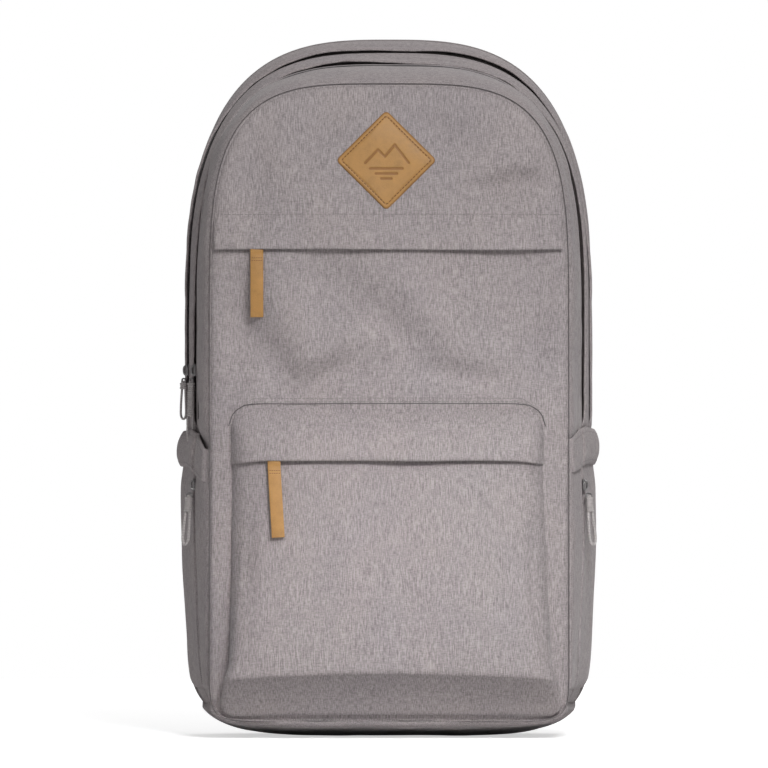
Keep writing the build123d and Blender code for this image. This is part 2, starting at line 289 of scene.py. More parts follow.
def sweep(path, normals, section, closed=False):
    """Points (N, k, 3) of a flat section of (across, up) pairs carried along a path."""
    path = np.asarray(path, float)
    if closed:
        tangents = unit(np.roll(path, -1, 0) - np.roll(path, 1, 0))
    else:
        tangents = unit(np.gradient(path, axis=0))
    across = unit(np.cross(tangents, normals))
    up = unit(np.cross(across, tangents))
    section = np.asarray(section, float)
    return (path[:, None] + across[:, None] * section[None, :, :1] + up[:, None] * section[None, :, 1:2])


def capped(name, rings, material, closed=False):
    """A solid from rings of points, with its two ends filled unless it is closed."""
    return build_mesh(name, rings, tube_faces(*rings.shape[:2], closed), material)


def round_section(radius, sides, flat=1.0):
    """A circle, or an ellipse, as a section for sweep."""
    angles = np.arange(sides) * 2 * math.pi / sides
    return np.stack([radius * np.cos(angles), radius * flat * np.sin(angles)], 1)


def join_copies(name, template, faces, frames, material):
    """One mesh from a template repeated at frames of (origin, x axis, y axis, z axis)."""
    template = np.asarray(template, float)
    faces = [np.asarray(f) for f in faces]
    points, all_faces = [], []
    for number, (origin, x_axis, y_axis, z_axis) in enumerate(frames):
        basis = np.stack([x_axis, y_axis, z_axis])
        points.append(template @ basis + origin)
        all_faces.extend(f + number * len(template) for f in faces)
    return build_mesh(name, np.vstack(points), all_faces, material)


def capsule_template(length, radius, sides=6):
    """A short rounded bar along x, sitting on z = 0."""
    half = length / 2
    squash = 0.8
    stations = [(-half, 0.35), (-half * 0.82, 0.9), (0, 1.0), (half * 0.82, 0.9), (half, 0.35)]
    points = []
    for x, scale in stations:
        sink = -radius * 0.5 * (abs(x) / half) ** 2
        for k in range(sides):
            angle = 2 * math.pi * k / sides
            y, z = radius * scale * math.cos(angle), radius * squash * scale * math.sin(angle)
            points.append((x, y, sink + z))
    return np.array(points), tube_faces(len(stations), sides)


def stitches(name, path, normals, material, pitch, length, radius, closed=False):
    """A row of thread stitches along a path."""
    at, tangents = resample(path, step=pitch, closed=closed)
    source = np.asarray(path, float)
    nearest = np.argmin(((at[:, None] - source[None]) ** 2).sum(-1), 1)
    up = unit(np.asarray(normals)[nearest])
    side = unit(np.cross(up, tangents))
    template, faces = capsule_template(length, radius)
    frames = [(at[k] + up[k] * 0.05, tangents[k], side[k], up[k]) for k in range(len(at))]
    return join_copies(name, template, faces, frames, material)


def sew(name, path, normals, body, material="thread", gauge=(3.4, 2.5, 0.32), closed=False,
        replaces=()):
    """Stitches that ride on one body; gauge is their pitch, length and radius."""
    return piece(stitches(name, path, normals, M[material], *gauge, closed), body, replaces)


# ---- Materials ----
class Nodes:
    """A material's node tree, with short ways to add and link nodes."""

    def __init__(self, name, roughness, metallic=0.0, sheen=0.0, sheen_roughness=0.5, specular=0.5):
        self.material = bpy.data.materials.new(name)
        self.material.use_nodes = True
        self.tree = self.material.node_tree
        self.tree.nodes.clear()
        self.shader = self.add("ShaderNodeBsdfPrincipled")
        self.shader.inputs["Roughness"].default_value = roughness
        self.shader.inputs["Metallic"].default_value = metallic
        self.shader.inputs["Sheen Weight"].default_value = sheen
        self.shader.inputs["Sheen Roughness"].default_value = sheen_roughness
        self.shader.inputs["Specular IOR Level"].default_value = specular
        output = self.add("ShaderNodeOutputMaterial")
        self.link(self.shader.outputs["BSDF"], output.inputs["Surface"])

    def add(self, kind, **settings):
        node = self.tree.nodes.new(kind)
        for key, value in settings.items():
            setattr(node, key, value)
        return node

    def link(self, source, target):
        self.tree.links.new(source, target)

    def rest(self, scale):
        """The cloth's rest place in units of scale millimetres, one per axis."""
        attribute = self.add("ShaderNodeAttribute", attribute_name="rest")
        mapping = self.add("ShaderNodeMapping")
        mapping.inputs["Scale"].default_value = [1000.0 / s for s in scale]
        self.link(attribute.outputs["Vector"], mapping.inputs["Vector"])
        return mapping.outputs["Vector"]

    def noise(self, scale, detail, roughness=0.5):
        node = self.add("ShaderNodeTexNoise")
        node.inputs["Scale"].default_value = 1.0
        node.inputs["Detail"].default_value = detail
        node.inputs["Roughness"].default_value = roughness
        self.link(self.rest(scale), node.inputs["Vector"])
        return node.outputs["Fac"]

    def feed(self, socket, value):
        """Gives a socket a number, a colour or another node's output."""
        if isinstance(value, (int, float)):
            socket.default_value = value
        elif isinstance(value, (tuple, list)):
            socket.default_value = (*value, 1.0)
        else:
            self.link(value, socket)

    def math(self, operation, a, b=0.0):
        node = self.add("ShaderNodeMath", operation=operation)
        self.feed(node.inputs[0], a)
        self.feed(node.inputs[1], b)
        return node.outputs[0]

    def ramp(self, fac, stops):
        node = self.add("ShaderNodeValToRGB")
        while len(node.color_ramp.elements) < len(stops):
            node.color_ramp.elements.new(0.5)
        for element, (position, colour) in zip(node.color_ramp.elements, stops):
            element.position = position
            element.color = (*colour, 1.0)
        self.link(fac, node.inputs["Fac"])
        return node.outputs["Color"]

    def mix(self, fac, a, b, blend="MIX"):
        node = self.add("ShaderNodeMix", data_type="RGBA", blend_type=blend)
        for socket, value in (("Factor", fac), ("A", a), ("B", b)):
            self.feed(node.inputs[socket], value)
        return node.outputs["Result"]

    def bump(self, height, strength, distance):
        node = self.add("ShaderNodeBump")
        node.inputs["Strength"].default_value = strength
        node.inputs["Distance"].default_value = distance * MM
        self.link(height, node.inputs["Height"])
        self.link(node.outputs["Normal"], self.shader.inputs["Normal"])

    def colour(self, socket):
        self.link(socket, self.shader.inputs["Base Color"])

    def roughness(self, socket):
        self.link(socket, self.shader.inputs["Roughness"])


def shade(colour, factor):
    """A colour made lighter or darker."""
    return tuple(min(1.0, c * factor) for c in colour)


def heather(name, colour, contrast=0.35):
    """Melange cloth: fine upright streaks of light and dark yarn, crossed by fainter weft threads."""
    warp, streak = 0.48, 5.0     # width and length of a streak of yarn, in millimetres
    n = Nodes(name, roughness=0.92, sheen=0.1, sheen_roughness=0.4, specular=0.25)
    upright = n.noise((warp, warp, streak), detail=2, roughness=0.55)
    level = n.noise((streak * 0.5, streak * 0.5, warp), detail=1, roughness=0.5)
    yarn = n.math("ADD", n.math("MULTIPLY", upright, 0.7), n.math("MULTIPLY", level, 0.3))
    patch = n.noise((34, 34, 60), detail=2)
    dark, light = shade(colour, 1 - contrast), shade(colour, 1 + contrast)
    cloth = n.ramp(yarn, [(0.36, dark), (0.5, colour), (0.64, light)])
    tint = n.ramp(patch, [(0.3, (0.955, 0.955, 0.965)), (0.7, (1.03, 1.02, 1.01))])
    n.colour(n.mix(1.0, cloth, tint, "MULTIPLY"))
    thread = n.noise((0.42, 0.42, 0.9), detail=1)
    n.bump(n.math("ADD", yarn, n.math("MULTIPLY", thread, 0.5)), 0.45, 0.25)
    return n.material


def ribbed(name, colour, pitch, contrast=0.25):
    """Narrow woven tape or cord with ribs across it, measured up the frame."""
    n = Nodes(name, roughness=0.7, sheen=0.1, specular=0.3)
    attribute = n.add("ShaderNodeAttribute", attribute_name="rest")
    dot = n.add("ShaderNodeVectorMath", operation="DOT_PRODUCT")
    n.link(attribute.outputs["Vector"], dot.inputs[0])
    dot.inputs[1].default_value = (0, 0, 1)
    phase = n.math("MULTIPLY", dot.outputs["Value"], 2 * math.pi * 1000.0 / pitch)
    wave = n.math("SINE", phase)
    fleck = n.noise((0.6, 0.6, 0.6), detail=2)
    level = n.math("ADD", n.math("MULTIPLY", wave, 0.22), fleck)
    n.colour(n.ramp(level, [(0.25, shade(colour, 1 - contrast)), (0.75, shade(colour, 1 + contrast))]))
    n.bump(level, 0.7, 0.35)
    return n.material


def knit(name, colour):
    """Open spacer mesh: a soft knit with small openings, darkened in them as painted shade of their depth."""
    cell = 2.6     # millimetres from hole to hole
    n = Nodes(name, roughness=0.95, sheen=0.2, specular=0.2)
    cells = n.add("ShaderNodeTexVoronoi", feature="F1")
    cells.inputs["Scale"].default_value = 1.0
    cells.inputs["Randomness"].default_value = 0.35
    n.link(n.rest((cell, cell, cell * 0.8)), cells.inputs["Vector"])
    fleck = n.noise((0.8, 0.8, 0.8), detail=2)
    # the openings darken to 0.3 of the knit's colour: painted shade of their depth
    painted_hole_shade = n.ramp(cells.outputs["Distance"], [(0.16, shade(colour, 0.3)), (0.34, colour)])
    tint = n.ramp(fleck, [(0.3, (0.8, 0.8, 0.8)), (0.7, (1.25, 1.25, 1.25))])
    n.colour(n.mix(1.0, painted_hole_shade, tint, "MULTIPLY"))
    n.bump(n.math("SMOOTH_MIN", cells.outputs["Distance"], 0.45), 0.8, 0.7)
    return n.material


def weave_tape(name, colour):
    """Woven strap: fine ribs and a faint herringbone, from how far along and across it a point is."""
    pitch = 1.5
    n = Nodes(name, roughness=0.62, sheen=0.1, specular=0.35)
    split = n.add("ShaderNodeSeparateXYZ")
    n.link(n.add("ShaderNodeAttribute", attribute_name="weave").outputs["Vector"], split.inputs[0])
    zigzag = n.math("PINGPONG", split.outputs["X"], 2.2)
    along = n.math("ADD", split.outputs["Y"], n.math("MULTIPLY", zigzag, 0.7))
    wave = n.math("SINE", n.math("MULTIPLY", along, 2 * math.pi / pitch))
    fleck = n.noise((0.5, 0.5, 0.5), detail=2)
    level = n.math("ADD", n.math("MULTIPLY", wave, 0.2), fleck)
    n.colour(n.ramp(level, [(0.25, shade(colour, 0.7)), (0.75, shade(colour, 1.35))]))
    n.bump(level, 0.8, 0.35)
    return n.material


def plain_cloth(name, colour, thread=0.5):
    """A thin plain-woven lining."""
    n = Nodes(name, roughness=0.8, sheen=0.15, specular=0.3)
    fine = n.noise((thread, thread, thread), detail=2)
    broad = n.noise((22, 22, 40), detail=2)
    cloth = n.ramp(fine, [(0.3, shade(colour, 0.85)), (0.7, shade(colour, 1.12))])
    tint = n.ramp(broad, [(0.3, (0.92, 0.92, 0.93)), (0.7, (1.05, 1.05, 1.04))])
    n.colour(n.mix(1.0, cloth, tint, "MULTIPLY"))
    n.bump(fine, 0.4, 0.25)
    return n.material


def leather_material(name, colour):
    """Vegetable-tanned leather: fine pores, cloudy colour, darker where it is pressed and at its edges."""
    n = Nodes(name, roughness=0.5, sheen=0.05, specular=0.4)
    cloud = n.noise((9, 9, 9), detail=4, roughness=0.6)
    grain = n.noise((0.55, 0.55, 0.55), detail=3, roughness=0.7)
    pores = n.add("ShaderNodeTexVoronoi", feature="F1")
    pores.inputs["Scale"].default_value = 1.0
    n.link(n.rest((0.9, 0.9, 0.9)), pores.inputs["Vector"])
    level = n.math("ADD", n.math("MULTIPLY", cloud, 0.6), n.math("MULTIPLY", grain, 0.4))
    hide = n.ramp(level, [(0.28, shade(colour, 0.76)), (0.5, colour), (0.74, shade(colour, 1.2))])
    pressed = n.add("ShaderNodeAttribute", attribute_name="pressed")
    burnt = n.mix(pressed.outputs["Fac"], hide, shade((colour[0], colour[1] * 0.82, colour[2] * 0.65), 0.6))
    n.colour(burnt)
    n.roughness(n.math("ADD", n.math("MULTIPLY", cloud, 0.25), 0.36))
    n.bump(n.math("ADD", grain, n.math("MULTIPLY", pores.outputs["Distance"], 0.5)), 0.35, 0.25)
    return n.material


def metal_material(name, colour):
    """Plated die-cast metal with small wear marks."""
    roughness = 0.32
    n = Nodes(name, roughness=roughness, metallic=1.0)
    wear = n.noise((1.4, 1.4, 1.4), detail=4, roughness=0.7)
    n.colour(n.ramp(wear, [(0.35, shade(colour, 0.75)), (0.7, shade(colour, 1.25))]))
    n.roughness(n.math("ADD", n.math("MULTIPLY", wear, 0.35), roughness - 0.14))
    n.bump(wear, 0.12, 0.2)
    return n.material


def moulded(name, colour, roughness=0.45):
    """Fine-textured moulded plastic."""
    n = Nodes(name, roughness=roughness, specular=0.45)
    spark = n.noise((0.35, 0.35, 0.35), detail=2)
    broad = n.noise((6, 6, 6), detail=3)
    n.colour(n.ramp(broad, [(0.3, shade(colour, 0.85)), (0.7, shade(colour, 1.2))]))
    n.roughness(n.math("ADD", n.math("MULTIPLY", broad, 0.2), roughness - 0.1))
    n.bump(spark, 0.25, 0.15)
    return n.material


SHELL_COLOUR = (0.335, 0.3, 0.303)
M = {
    "shell": heather("shell_cloth", SHELL_COLOUR),
    # base: the shell colour darkened for the underside, as painted shade
    "base": heather("base_cloth_painted_shade", shade(SHELL_COLOUR, 0.9)),
    "lining": plain_cloth("lining_cloth", (0.36, 0.34, 0.33)),
    "thread": plain_cloth("thread", shade(SHELL_COLOUR, 0.72), thread=0.3),
    # seam: the shell colour darkened to a third, for tubes laid in seams as painted shadow
    "seam": plain_cloth("seam_shade", shade(SHELL_COLOUR, 0.34), thread=0.3),
    "dark_thread": plain_cloth("dark_thread", (0.03, 0.028, 0.03), thread=0.3),
    "tan_thread": plain_cloth("tan_thread", (0.17, 0.075, 0.02), thread=0.3),
    "zip_tape": plain_cloth("zip_tape", (0.055, 0.05, 0.053), thread=0.6),
    "zip_coil": moulded("zip_coil", (0.045, 0.042, 0.045), 0.4),
    "leather": leather_material("leather", (0.42, 0.222, 0.068)),
    "metal": metal_material("zip_metal", (0.32, 0.31, 0.31)),
    "cord": ribbed("cord", (0.45, 0.418, 0.414), pitch=1.1),
    "webbing": ribbed("webbing", (0.085, 0.08, 0.083), pitch=1.5),
    "webbing_weave": weave_tape("webbing_weave", (0.075, 0.07, 0.073)),
    "thread_light": plain_cloth("thread_light", (0.3, 0.28, 0.28), thread=0.3),
    "strap": heather("strap_cloth", (0.17, 0.155, 0.158), contrast=0.32),
    "mesh": knit("air_mesh", (0.085, 0.08, 0.085)),
    "piping": ribbed("piping", (0.23, 0.205, 0.205), pitch=2.2, contrast=0.12),
    "plastic": moulded("buckle_plastic", (0.035, 0.034, 0.036)),
    "rubber": moulded("grip_rubber", (0.42, 0.39, 0.385), 0.6),
}


# ---- The body's sections ----
def y_at(section, z):
    """Where a section lies along Y at a height, before SHIFT."""
    return section.y_foot + (section.y_top - section.y_foot) * z / HEIGHT


def section_centre(section, z):
    """The point in a section's middle at a height."""
    return np.array([0.0, y_at(section, z) + SHIFT, z])


def outline(section, grow=0.0, count=RING):
    """Even points (count, 3) round a section, from the middle of its foot up the right side and over."""
    half = section.half + grow
    angles = np.linspace(0, math.pi / 2, 160)
    foot_rise = FOOT - section.bottom + grow
    top_rise = section.top + grow - SPRING
    corner = angles[::-1]
    corner_x = half * np.cos(corner) ** (2 / section.corner_power)
    corner_z = FOOT - foot_rise * np.sin(corner) ** (2 / section.corner_power)
    arch_x = half * np.cos(angles) ** (2 / section.arch_power)
    arch_z = SPRING + top_rise * np.sin(angles) ** (2 / section.arch_power)
    x, z = np.r_[corner_x, arch_x], np.r_[corner_z, arch_z]
    x[0] = x[-1] = 0.0
    dense = np.stack([x, y_at(section, z) + SHIFT, z], 1)
    half_loop, _ = resample(dense, count=count // 2 + 1)
    mirrored = half_loop[1:-1][::-1] * (-1, 1, 1)
    return np.vstack([half_loop, mirrored])


def outward(points):
    """Unit vectors in XZ that point out of a closed section."""
    tangent = np.roll(points, -1, 0) - np.roll(points, 1, 0)
    normal = np.stack([tangent[:, 2], np.zeros(len(points)), -tangent[:, 0]], 1)
    return unit(normal)


# Each zip is open between its cloth lips by a share that changes along it: (place, share), where the place
# runs from -1 at the left end over 0 at the top to 1 at the right end.
REAR_OPENING = [(-1, 0.5), (-0.8, 0.7), (-0.6, 0.8), (-0.45, 0.9), (-0.35, 0.35), (-0.25, 0.45),
                (-0.15, 0.85), (-0.05, 0.85), (0.05, 0.55), (0.12, 1.0), (0.25, 0.95), (0.33, 0.5),
                (0.42, 0.15), (0.55, 0.15), (0.7, 0.35), (1, 0.5)]
MAIN_OPENING = [(-1, 0.9), (-0.85, 0.8), (-0.7, 0.5), (-0.55, 0.25), (-0.45, 0.1), (-0.3, 0.0),
                (-0.25, 0.1), (-0.15, 0.6), (-0.09, 1.0), (-0.03, 0.7), (0.04, 0.22), (0.15, 0.2),
                (0.25, 0.35), (0.29, 0.0), (0.33, 0.1), (0.39, 0.6), (0.5, 1.0), (0.7, 1.0), (0.85, 0.9),
                (1, 0.8)]


def zip_opening(line, shares):
    """How far a zip's lips stand apart at each point of a section, from 0 to 1."""
    steps = np.linalg.norm(np.diff(line, axis=0, append=line[:1]), axis=1)
    along = np.concatenate([[0], np.cumsum(steps)[:-1]])
    top = along[RING // 2]
    reach = top - along[np.argmin(np.abs(line[:RING // 2, 2] - ZIP_END_Z))]
    place = (top - along) / reach
    places, openings = zip(*shares)
    free = smoothstep(ZIP_END_Z - 5, ZIP_END_Z + 6, line[:, 2])
    uneven = 0.12 * lattice_noise(line, (9, 30, 9), 61)
    return free * np.clip(np.interp(place, places, openings) + uneven, 0, 1)


front_edge, main_line = outline(FRONT), outline(MAIN_ZIP)
rear_line, back_edge = outline(REAR_ZIP), outline(BACK)
main_open, rear_open = zip_opening(main_line, MAIN_OPENING), zip_opening(rear_line, REAR_OPENING)

# Half profiles of a strip's edge, (distance from the edge, height), from its hidden side to its face.
HOOD = [(3.5, -1.1), (1.2, -1.0), (0.25, -0.75), (0.0, -0.25), (0.2, 0.35), (0.8, 0.75), (2.2, 0.95),
        (4.2, 0.9), (5.5, 0.62), (6.2, 0.35), (6.9, 0.62), (8.6, 0.85)]
LIP = [(2.2, -2.2), (0.7, -1.9), (0.15, -1.3), (0.0, -0.7), (0.3, -0.05), (1.0, 0.4), (2.4, 0.72),
       (4.4, 0.75), (5.6, 0.5), (6.3, 0.25), (7.0, 0.5), (8.8, 0.75)]
SEAM = [(2.0, -3.2), (0.7, -3.0), (0.25, -2.2), (0.3, -1.2), (0.65, -0.4), (1.4, 0.15), (2.8, 0.55),
        (5.0, 0.8), (8.0, 0.9)]
ROLLED_SEAM = [(2.0, -3.2), (0.7, -3.0), (0.25, -2.2), (0.3, -1.3), (0.65, -0.7), (1.4, -0.1), (2.8, 0.7),
               (5.0, 1.6), (8.0, 2.4)]


def strip_profile(first, last, length, crown, middle_rows):
    """A closed loop of (distance, height) across a gusset: its face between two edges, and its back."""
    start = list(first)
    end = [(length - d, h) for d, h in reversed(last)]
    a, b = start[-1][0], end[0][0]
    rows = []
    for k in range(1, middle_rows + 1):
        t = k / (middle_rows + 1)
        base = start[-1][1] + (end[0][1] - start[-1][1]) * t
        rows.append((a + (b - a) * t, base + crown * math.sin(math.pi * t) ** 0.8))
    back = []
    for k in range(middle_rows, 0, -1):
        t = k / (middle_rows + 1)
        back.append((a + (b - a) * t, -1.6))
    return start + rows + end + back


POCKET_EDGE = -46.0     # where the side pockets begin along Y, before SHIFT


def gusset_rings(edge_a, edge_b, profile, length, wrinkle, seed, lift=None):
    """Grid (rows, RING, 3) of a strip from edge_a to edge_b, its first edge lifted; heights run outwards."""
    out = unit(outward(edge_a) + outward(edge_b))
    rows = []
    for distance, height in profile:
        w = distance / length
        base = edge_a * (1 - w) + edge_b * w
        fade = math.sin(math.pi * min(max(w, 0.0), 1.0)) ** 0.7
        folds = lattice_noise(base, (26, 17, 44), seed) + 0.5 * lattice_noise(base, (12, 11, 20), seed + 1)
        sides = smoothstep(60, 118, np.abs(base[:, 0]))
        covered = sides * (1 - smoothstep(208, 224, base[:, 2]))
        covered = covered * smoothstep(POCKET_EDGE - 8, POCKET_EDGE, base[:, 1] - SHIFT)
        offset = height + wrinkle * fade * folds * (0.35 + 0.65 * sides) * (1 - 0.9 * covered)
        offset = offset - covered * (max(height, 0.0) * 0.9 + 1.1)
        if lift is not None:
            offset = offset + lift * (1 - smoothstep(1.0, 13.0, distance))
        rows.append(base + out * offset[:, None])
    return np.stack(rows)


def ring_part(points, keep):
    """The longest run of a ring's columns for which keep is true, in order round the top."""
    count = points.shape[1]
    order = np.r_[np.arange(count), np.arange(count)]
    flags = keep[order]
    best, start = (0, 0), None
    for k, flag in enumerate(np.r_[flags, False]):
        if flag and start is None:
            start = k
        if not flag and start is not None:
            if k - start > best[1] - best[0]:
                best = (start, k)
            start = None
    columns = order[best[0]:min(best[1], best[0] + count)]
    return points[:, columns]


def closed_strip(name, points, material):
    """A solid ring from a closed profile."""
    return grid_object(name, points, material, closed=True, flip=True)


def open_strip(name, points, material):
    """A solid arc from a closed profile, with its two ends filled."""
    return capped(name, np.transpose(points, (1, 0, 2))[:, ::-1], material)


# Each gusset's own width, the distance that its profile runs over.
FRONT_GUSSET, MIDDLE_GUSSET, REAR_GUSSET = 62.0, 28.0, 26.0
# How far a zip's lips stand apart, and how far the cloth behind it lifts.
MAIN_GAP, REAR_GAP = [(0.3 + 1.1 * share)[:, None] * Y_AXIS for share in (main_open, rear_open)]
MAIN_LIFT, REAR_LIFT = [0.35 + 3.0 * share for share in (main_open, rear_open)]


def make_gussets():
    """The three cloth strips between the front panel, the two zips and the back panel."""
    profile = strip_profile(ROLLED_SEAM, LIP, FRONT_GUSSET, 1.4, 14)
    points = gusset_rings(front_edge, main_line - MAIN_GAP, profile, FRONT_GUSSET, 2.2, 11)
    front = closed_strip("front_gusset_cloth", points, M["shell"])
    lid_piece(front, ("front_gusset", "side_panel_left", "side_panel_right"))

    profile = strip_profile(HOOD, LIP, MIDDLE_GUSSET, 1.0, 5)
    points = gusset_rings(main_line + MAIN_GAP, rear_line - REAR_GAP, profile, MIDDLE_GUSSET, 0.7, 21,
                          MAIN_LIFT)
    middle = closed_strip("middle_gusset_cloth", points, M["shell"])
    piece(middle, "shell", ("middle_gusset",))

    profile = strip_profile(HOOD, SEAM, REAR_GUSSET, 1.0, 5)
    points = gusset_rings(rear_line + REAR_GAP, back_edge, profile, REAR_GUSSET, 0.7, 31, REAR_LIFT)
    rear = closed_strip("rear_gusset_cloth", points, M["shell"])
    piece(rear, "shell", ("rear_gusset",))


TAPE = [(-0.4, 0.0), (9.0, 0.0), (9.0, -0.7), (-0.4, -0.7)]
ZIP_DEPTH = 2.6      # how deep an arched zip lies under the gussets' cloth


def zip_line(name, line, toward, body, node):
    """One half of an arched zip: its tape and the teeth along its edge; toward is -1 for the front half."""
    out = outward(line)
    keep = line[:, 2] > ZIP_END_Z - 3
    rows = [line + Y_AXIS * toward * d + out * (h - ZIP_DEPTH) for d, h in TAPE]
    points = ring_part(np.stack(rows), keep)
    tape = open_strip(f"{name}_tape", points if toward > 0 else points[::-1], M["zip_tape"])
    path = ring_part((line + Y_AXIS * toward * 0.5 + out * (0.45 - ZIP_DEPTH))[None], keep)[0]
    ups = ring_part(out[None], keep)[0]
    at, _ = resample(path, step=1.9)
    nearest = np.linspace(0, len(path) - 1, len(at)).round().astype(int)
    template, faces = capsule_template(2.6, 0.55, sides=5)
    frames = [(p, Y_AXIS, unit(np.cross(ups[n], Y_AXIS)), ups[n]) for p, n in zip(at, nearest)]
    teeth = join_copies(f"{name}_teeth", template, faces, frames, M["zip_coil"])
    for obj in (tape, teeth):
        if body == "front_lid":
            lid_piece(obj, (node,))
        else:
            piece(obj, body, (node,))


def make_arch_zips():
    """Both arched zips, half a tape at a time; the main one's front half is finished as a lid piece."""
    zip_line("main_zip_front", main_line, -1, "front_lid", "main_zip_front_tape")
    zip_line("main_zip_rear", main_line, 1, "shell", "main_zip_rear_tape")
    zip_line("rear_zip_front", rear_line, -1, "shell", "rear_zip")
    zip_line("rear_zip_rear", rear_line, 1, "shell", "rear_zip")


def square_ring(boundary, steps, crowd):
    """A square grid mapped onto an outline: each point's share of the way out, and its place on the outline.

    A crowd above 1 sets the grid's outer rings closer together.
    """
    count = len(boundary)
    closed = np.vstack([boundary, boundary[:1]])
    line = np.linspace(-1, 1, 2 * steps + 1)
    axis = np.sign(line) * (1 - (1 - np.abs(line)) ** crowd)
    u, v = np.meshgrid(axis, axis)
    reach = np.maximum(np.maximum(np.abs(u), np.abs(v)), 1e-9)
    a, b = u / reach, v / reach
    on_right, on_top, on_left = (np.isclose(a, 1) & (b > -1)), (np.isclose(b, 1) & (a < 1)), np.isclose(a, -1)
    place = np.where(on_left & (b < 1), 6 - b, a)
    place = np.where(on_top, 4 - a, place)
    place = np.where(on_right, 2 + b, place)
    place = np.mod(place, 8) / 8 * count
    edge = np.stack([np.interp(place, np.arange(count + 1), closed[:, k]) for k in range(3)], -1)
    return reach, edge


def sheet_grid(boundary, centre, steps, crowd, far):
    """A grid of flat places inside an outline, and each one's distance from the edge, at most far."""
    reach, edge = square_ring(boundary, steps, crowd)
    flat = centre + reach[..., None] * (edge - centre)
    return flat, (1 - reach) * np.minimum(np.linalg.norm(edge - centre, axis=-1), far)


FRONT_NORMAL = np.array([0.0, -math.cos(FRONT_LEAN), math.sin(FRONT_LEAN)])
FRONT_MIDDLE = section_centre(FRONT, 240.0)
FRONT_FAR = 128.0         # the front panel's distance from its edge is counted up to here
FLAP_TOP_Z = 370.0        # the stitched line where the upper flap leaves the front panel


def front_point(x, h, d):
    """Points on the front panel's plane: x across, h up the panel, d outwards."""
    x, h, d = np.broadcast_arrays(np.asarray(x, float), np.asarray(h, float), np.asarray(d, float))
    y = FRONT.y_foot + h * math.sin(FRONT_LEAN) - d * math.cos(FRONT_LEAN) + SHIFT
    z = h * math.cos(FRONT_LEAN) + d * math.sin(FRONT_LEAN)
    return np.stack([x, y, z], -1)


def dent(x, z, centre, length, width, tilt):
    """A soft hollow along a line through centre, tilted by degrees."""
    c, s = math.cos(math.radians(tilt)), math.sin(math.radians(tilt))
    along = (x - centre[0]) * c + (z - centre[1]) * s
    across = -(x - centre[0]) * s + (z - centre[1]) * c
    return np.exp(-(along / length) ** 2 - (across / width) ** 2)


RELIEF = 3.1
HOLLOWS = [
    # middle as (x, z), length, width, tilt in degrees, height; a hollow's height is negative
    ((90, 394), 34, 9, 12, -2.8),
    ((-97, 398), 34, 16, 80, -2.0),
    ((72, 410), 36, 12, 10, 1.4),
    ((-20, 312), 60, 13, -38, -1.7),
    ((30, 300), 60, 16, -42, 1.3),
    ((84, 318), 46, 15, 62, -2.4),
    ((104, 292), 40, 11, 78, -2.2),
    ((-42, 258), 36, 11, 24, -3.0),
    ((-84, 268), 40, 14, -56, -2.6),
    ((-104, 300), 44, 10, 84, -2.0),
    ((-70, 300), 38, 16, -62, 1.6),
    ((48, 258), 44, 9, -8, -1.8),
    ((40, 430), 36, 14, -24, -1.3),
    ((-52, 428), 34, 13, 30, -1.4),
]


def front_height(points, from_edge):
    """How far the front panel stands out of its plane, in millimetres."""
    x, z = points[..., 0], points[..., 2]
    rolled = -2.0 + 4.6 * (1 - np.exp(-from_edge / 0.8))
    crown = 3.4 * (1 - np.exp(-from_edge / 34.0)) + 5.8 * (1 - np.exp(-from_edge / 15.0)) - 2.0
    step = 1.9 * smoothstep(FLAP_TOP_Z - 9, FLAP_TOP_Z - 1, z) + 0.4
    hollows = sum(RELIEF * height * dent(x, z, *form) for *form, height in HOLLOWS)
    waves = lattice_noise(points, (52, 60, 48), 41) + 0.45 * lattice_noise(points, (24, 60, 22), 43)
    fade = smoothstep(0, 16, from_edge)
    return rolled + crown + fade * (step + hollows + 1.5 * waves)


def make_front_seam_shadow():
    """A dark tube sunk between the front panel and its gusset: painted shadow of the seam there."""
    line = outline(FRONT, -0.1) + FRONT_NORMAL * 0.1
    rings = sweep(line, outward(line), round_section(0.36, 6), closed=True)
    # the tube in the dark seam colour is painted shadow in the seam's groove
    lid_piece(capped("front_seam_painted_shadow", rings, M["seam"], closed=True))


def make_front_panel():
    """The whole front face as one sheet."""
    flat, from_edge = sheet_grid(outline(FRONT, -0.35), FRONT_MIDDLE, RING // 8, 1.5, FRONT_FAR)
    points = flat + FRONT_NORMAL * front_height(flat, from_edge)[..., None]
    panel = grid_object("front_panel_cloth", points, M["shell"])
    thicken(panel, 0.9)
    nodes = ("front_panel_upper", "front_panel_middle", "front_panel_lower")
    return lid_piece(panel, nodes, FRONT_DEPTH)


make_gussets()
make_arch_zips()
front_panel = make_front_panel()
make_front_seam_shadow()


# ---- Front: base, flap, patch and pocket ----
def crease(x, z, line, width):
    """1 on a line through (x, z) points, fading out over a width either side and towards the line's ends."""
    points = np.stack([x, z], -1)
    best = np.full(x.shape, 1e9)
    share = np.zeros(x.shape)
    spans = len(line) - 1
    for number in range(spans):
        a, b = np.array(line[number], float), np.array(line[number + 1], float)
        t = np.clip(((points - a) @ (b - a)) / ((b - a) @ (b - a)), 0, 1)
        far = np.linalg.norm(points - a - t[..., None] * (b - a), axis=-1)
        closer = far < best
        best = np.where(closer, far, best)
        share = np.where(closer, (number + t) / spans, share)
    return np.exp(-(best / width) ** 2) * np.sin(math.pi * np.clip(share, 0.04, 0.96)) ** 0.6


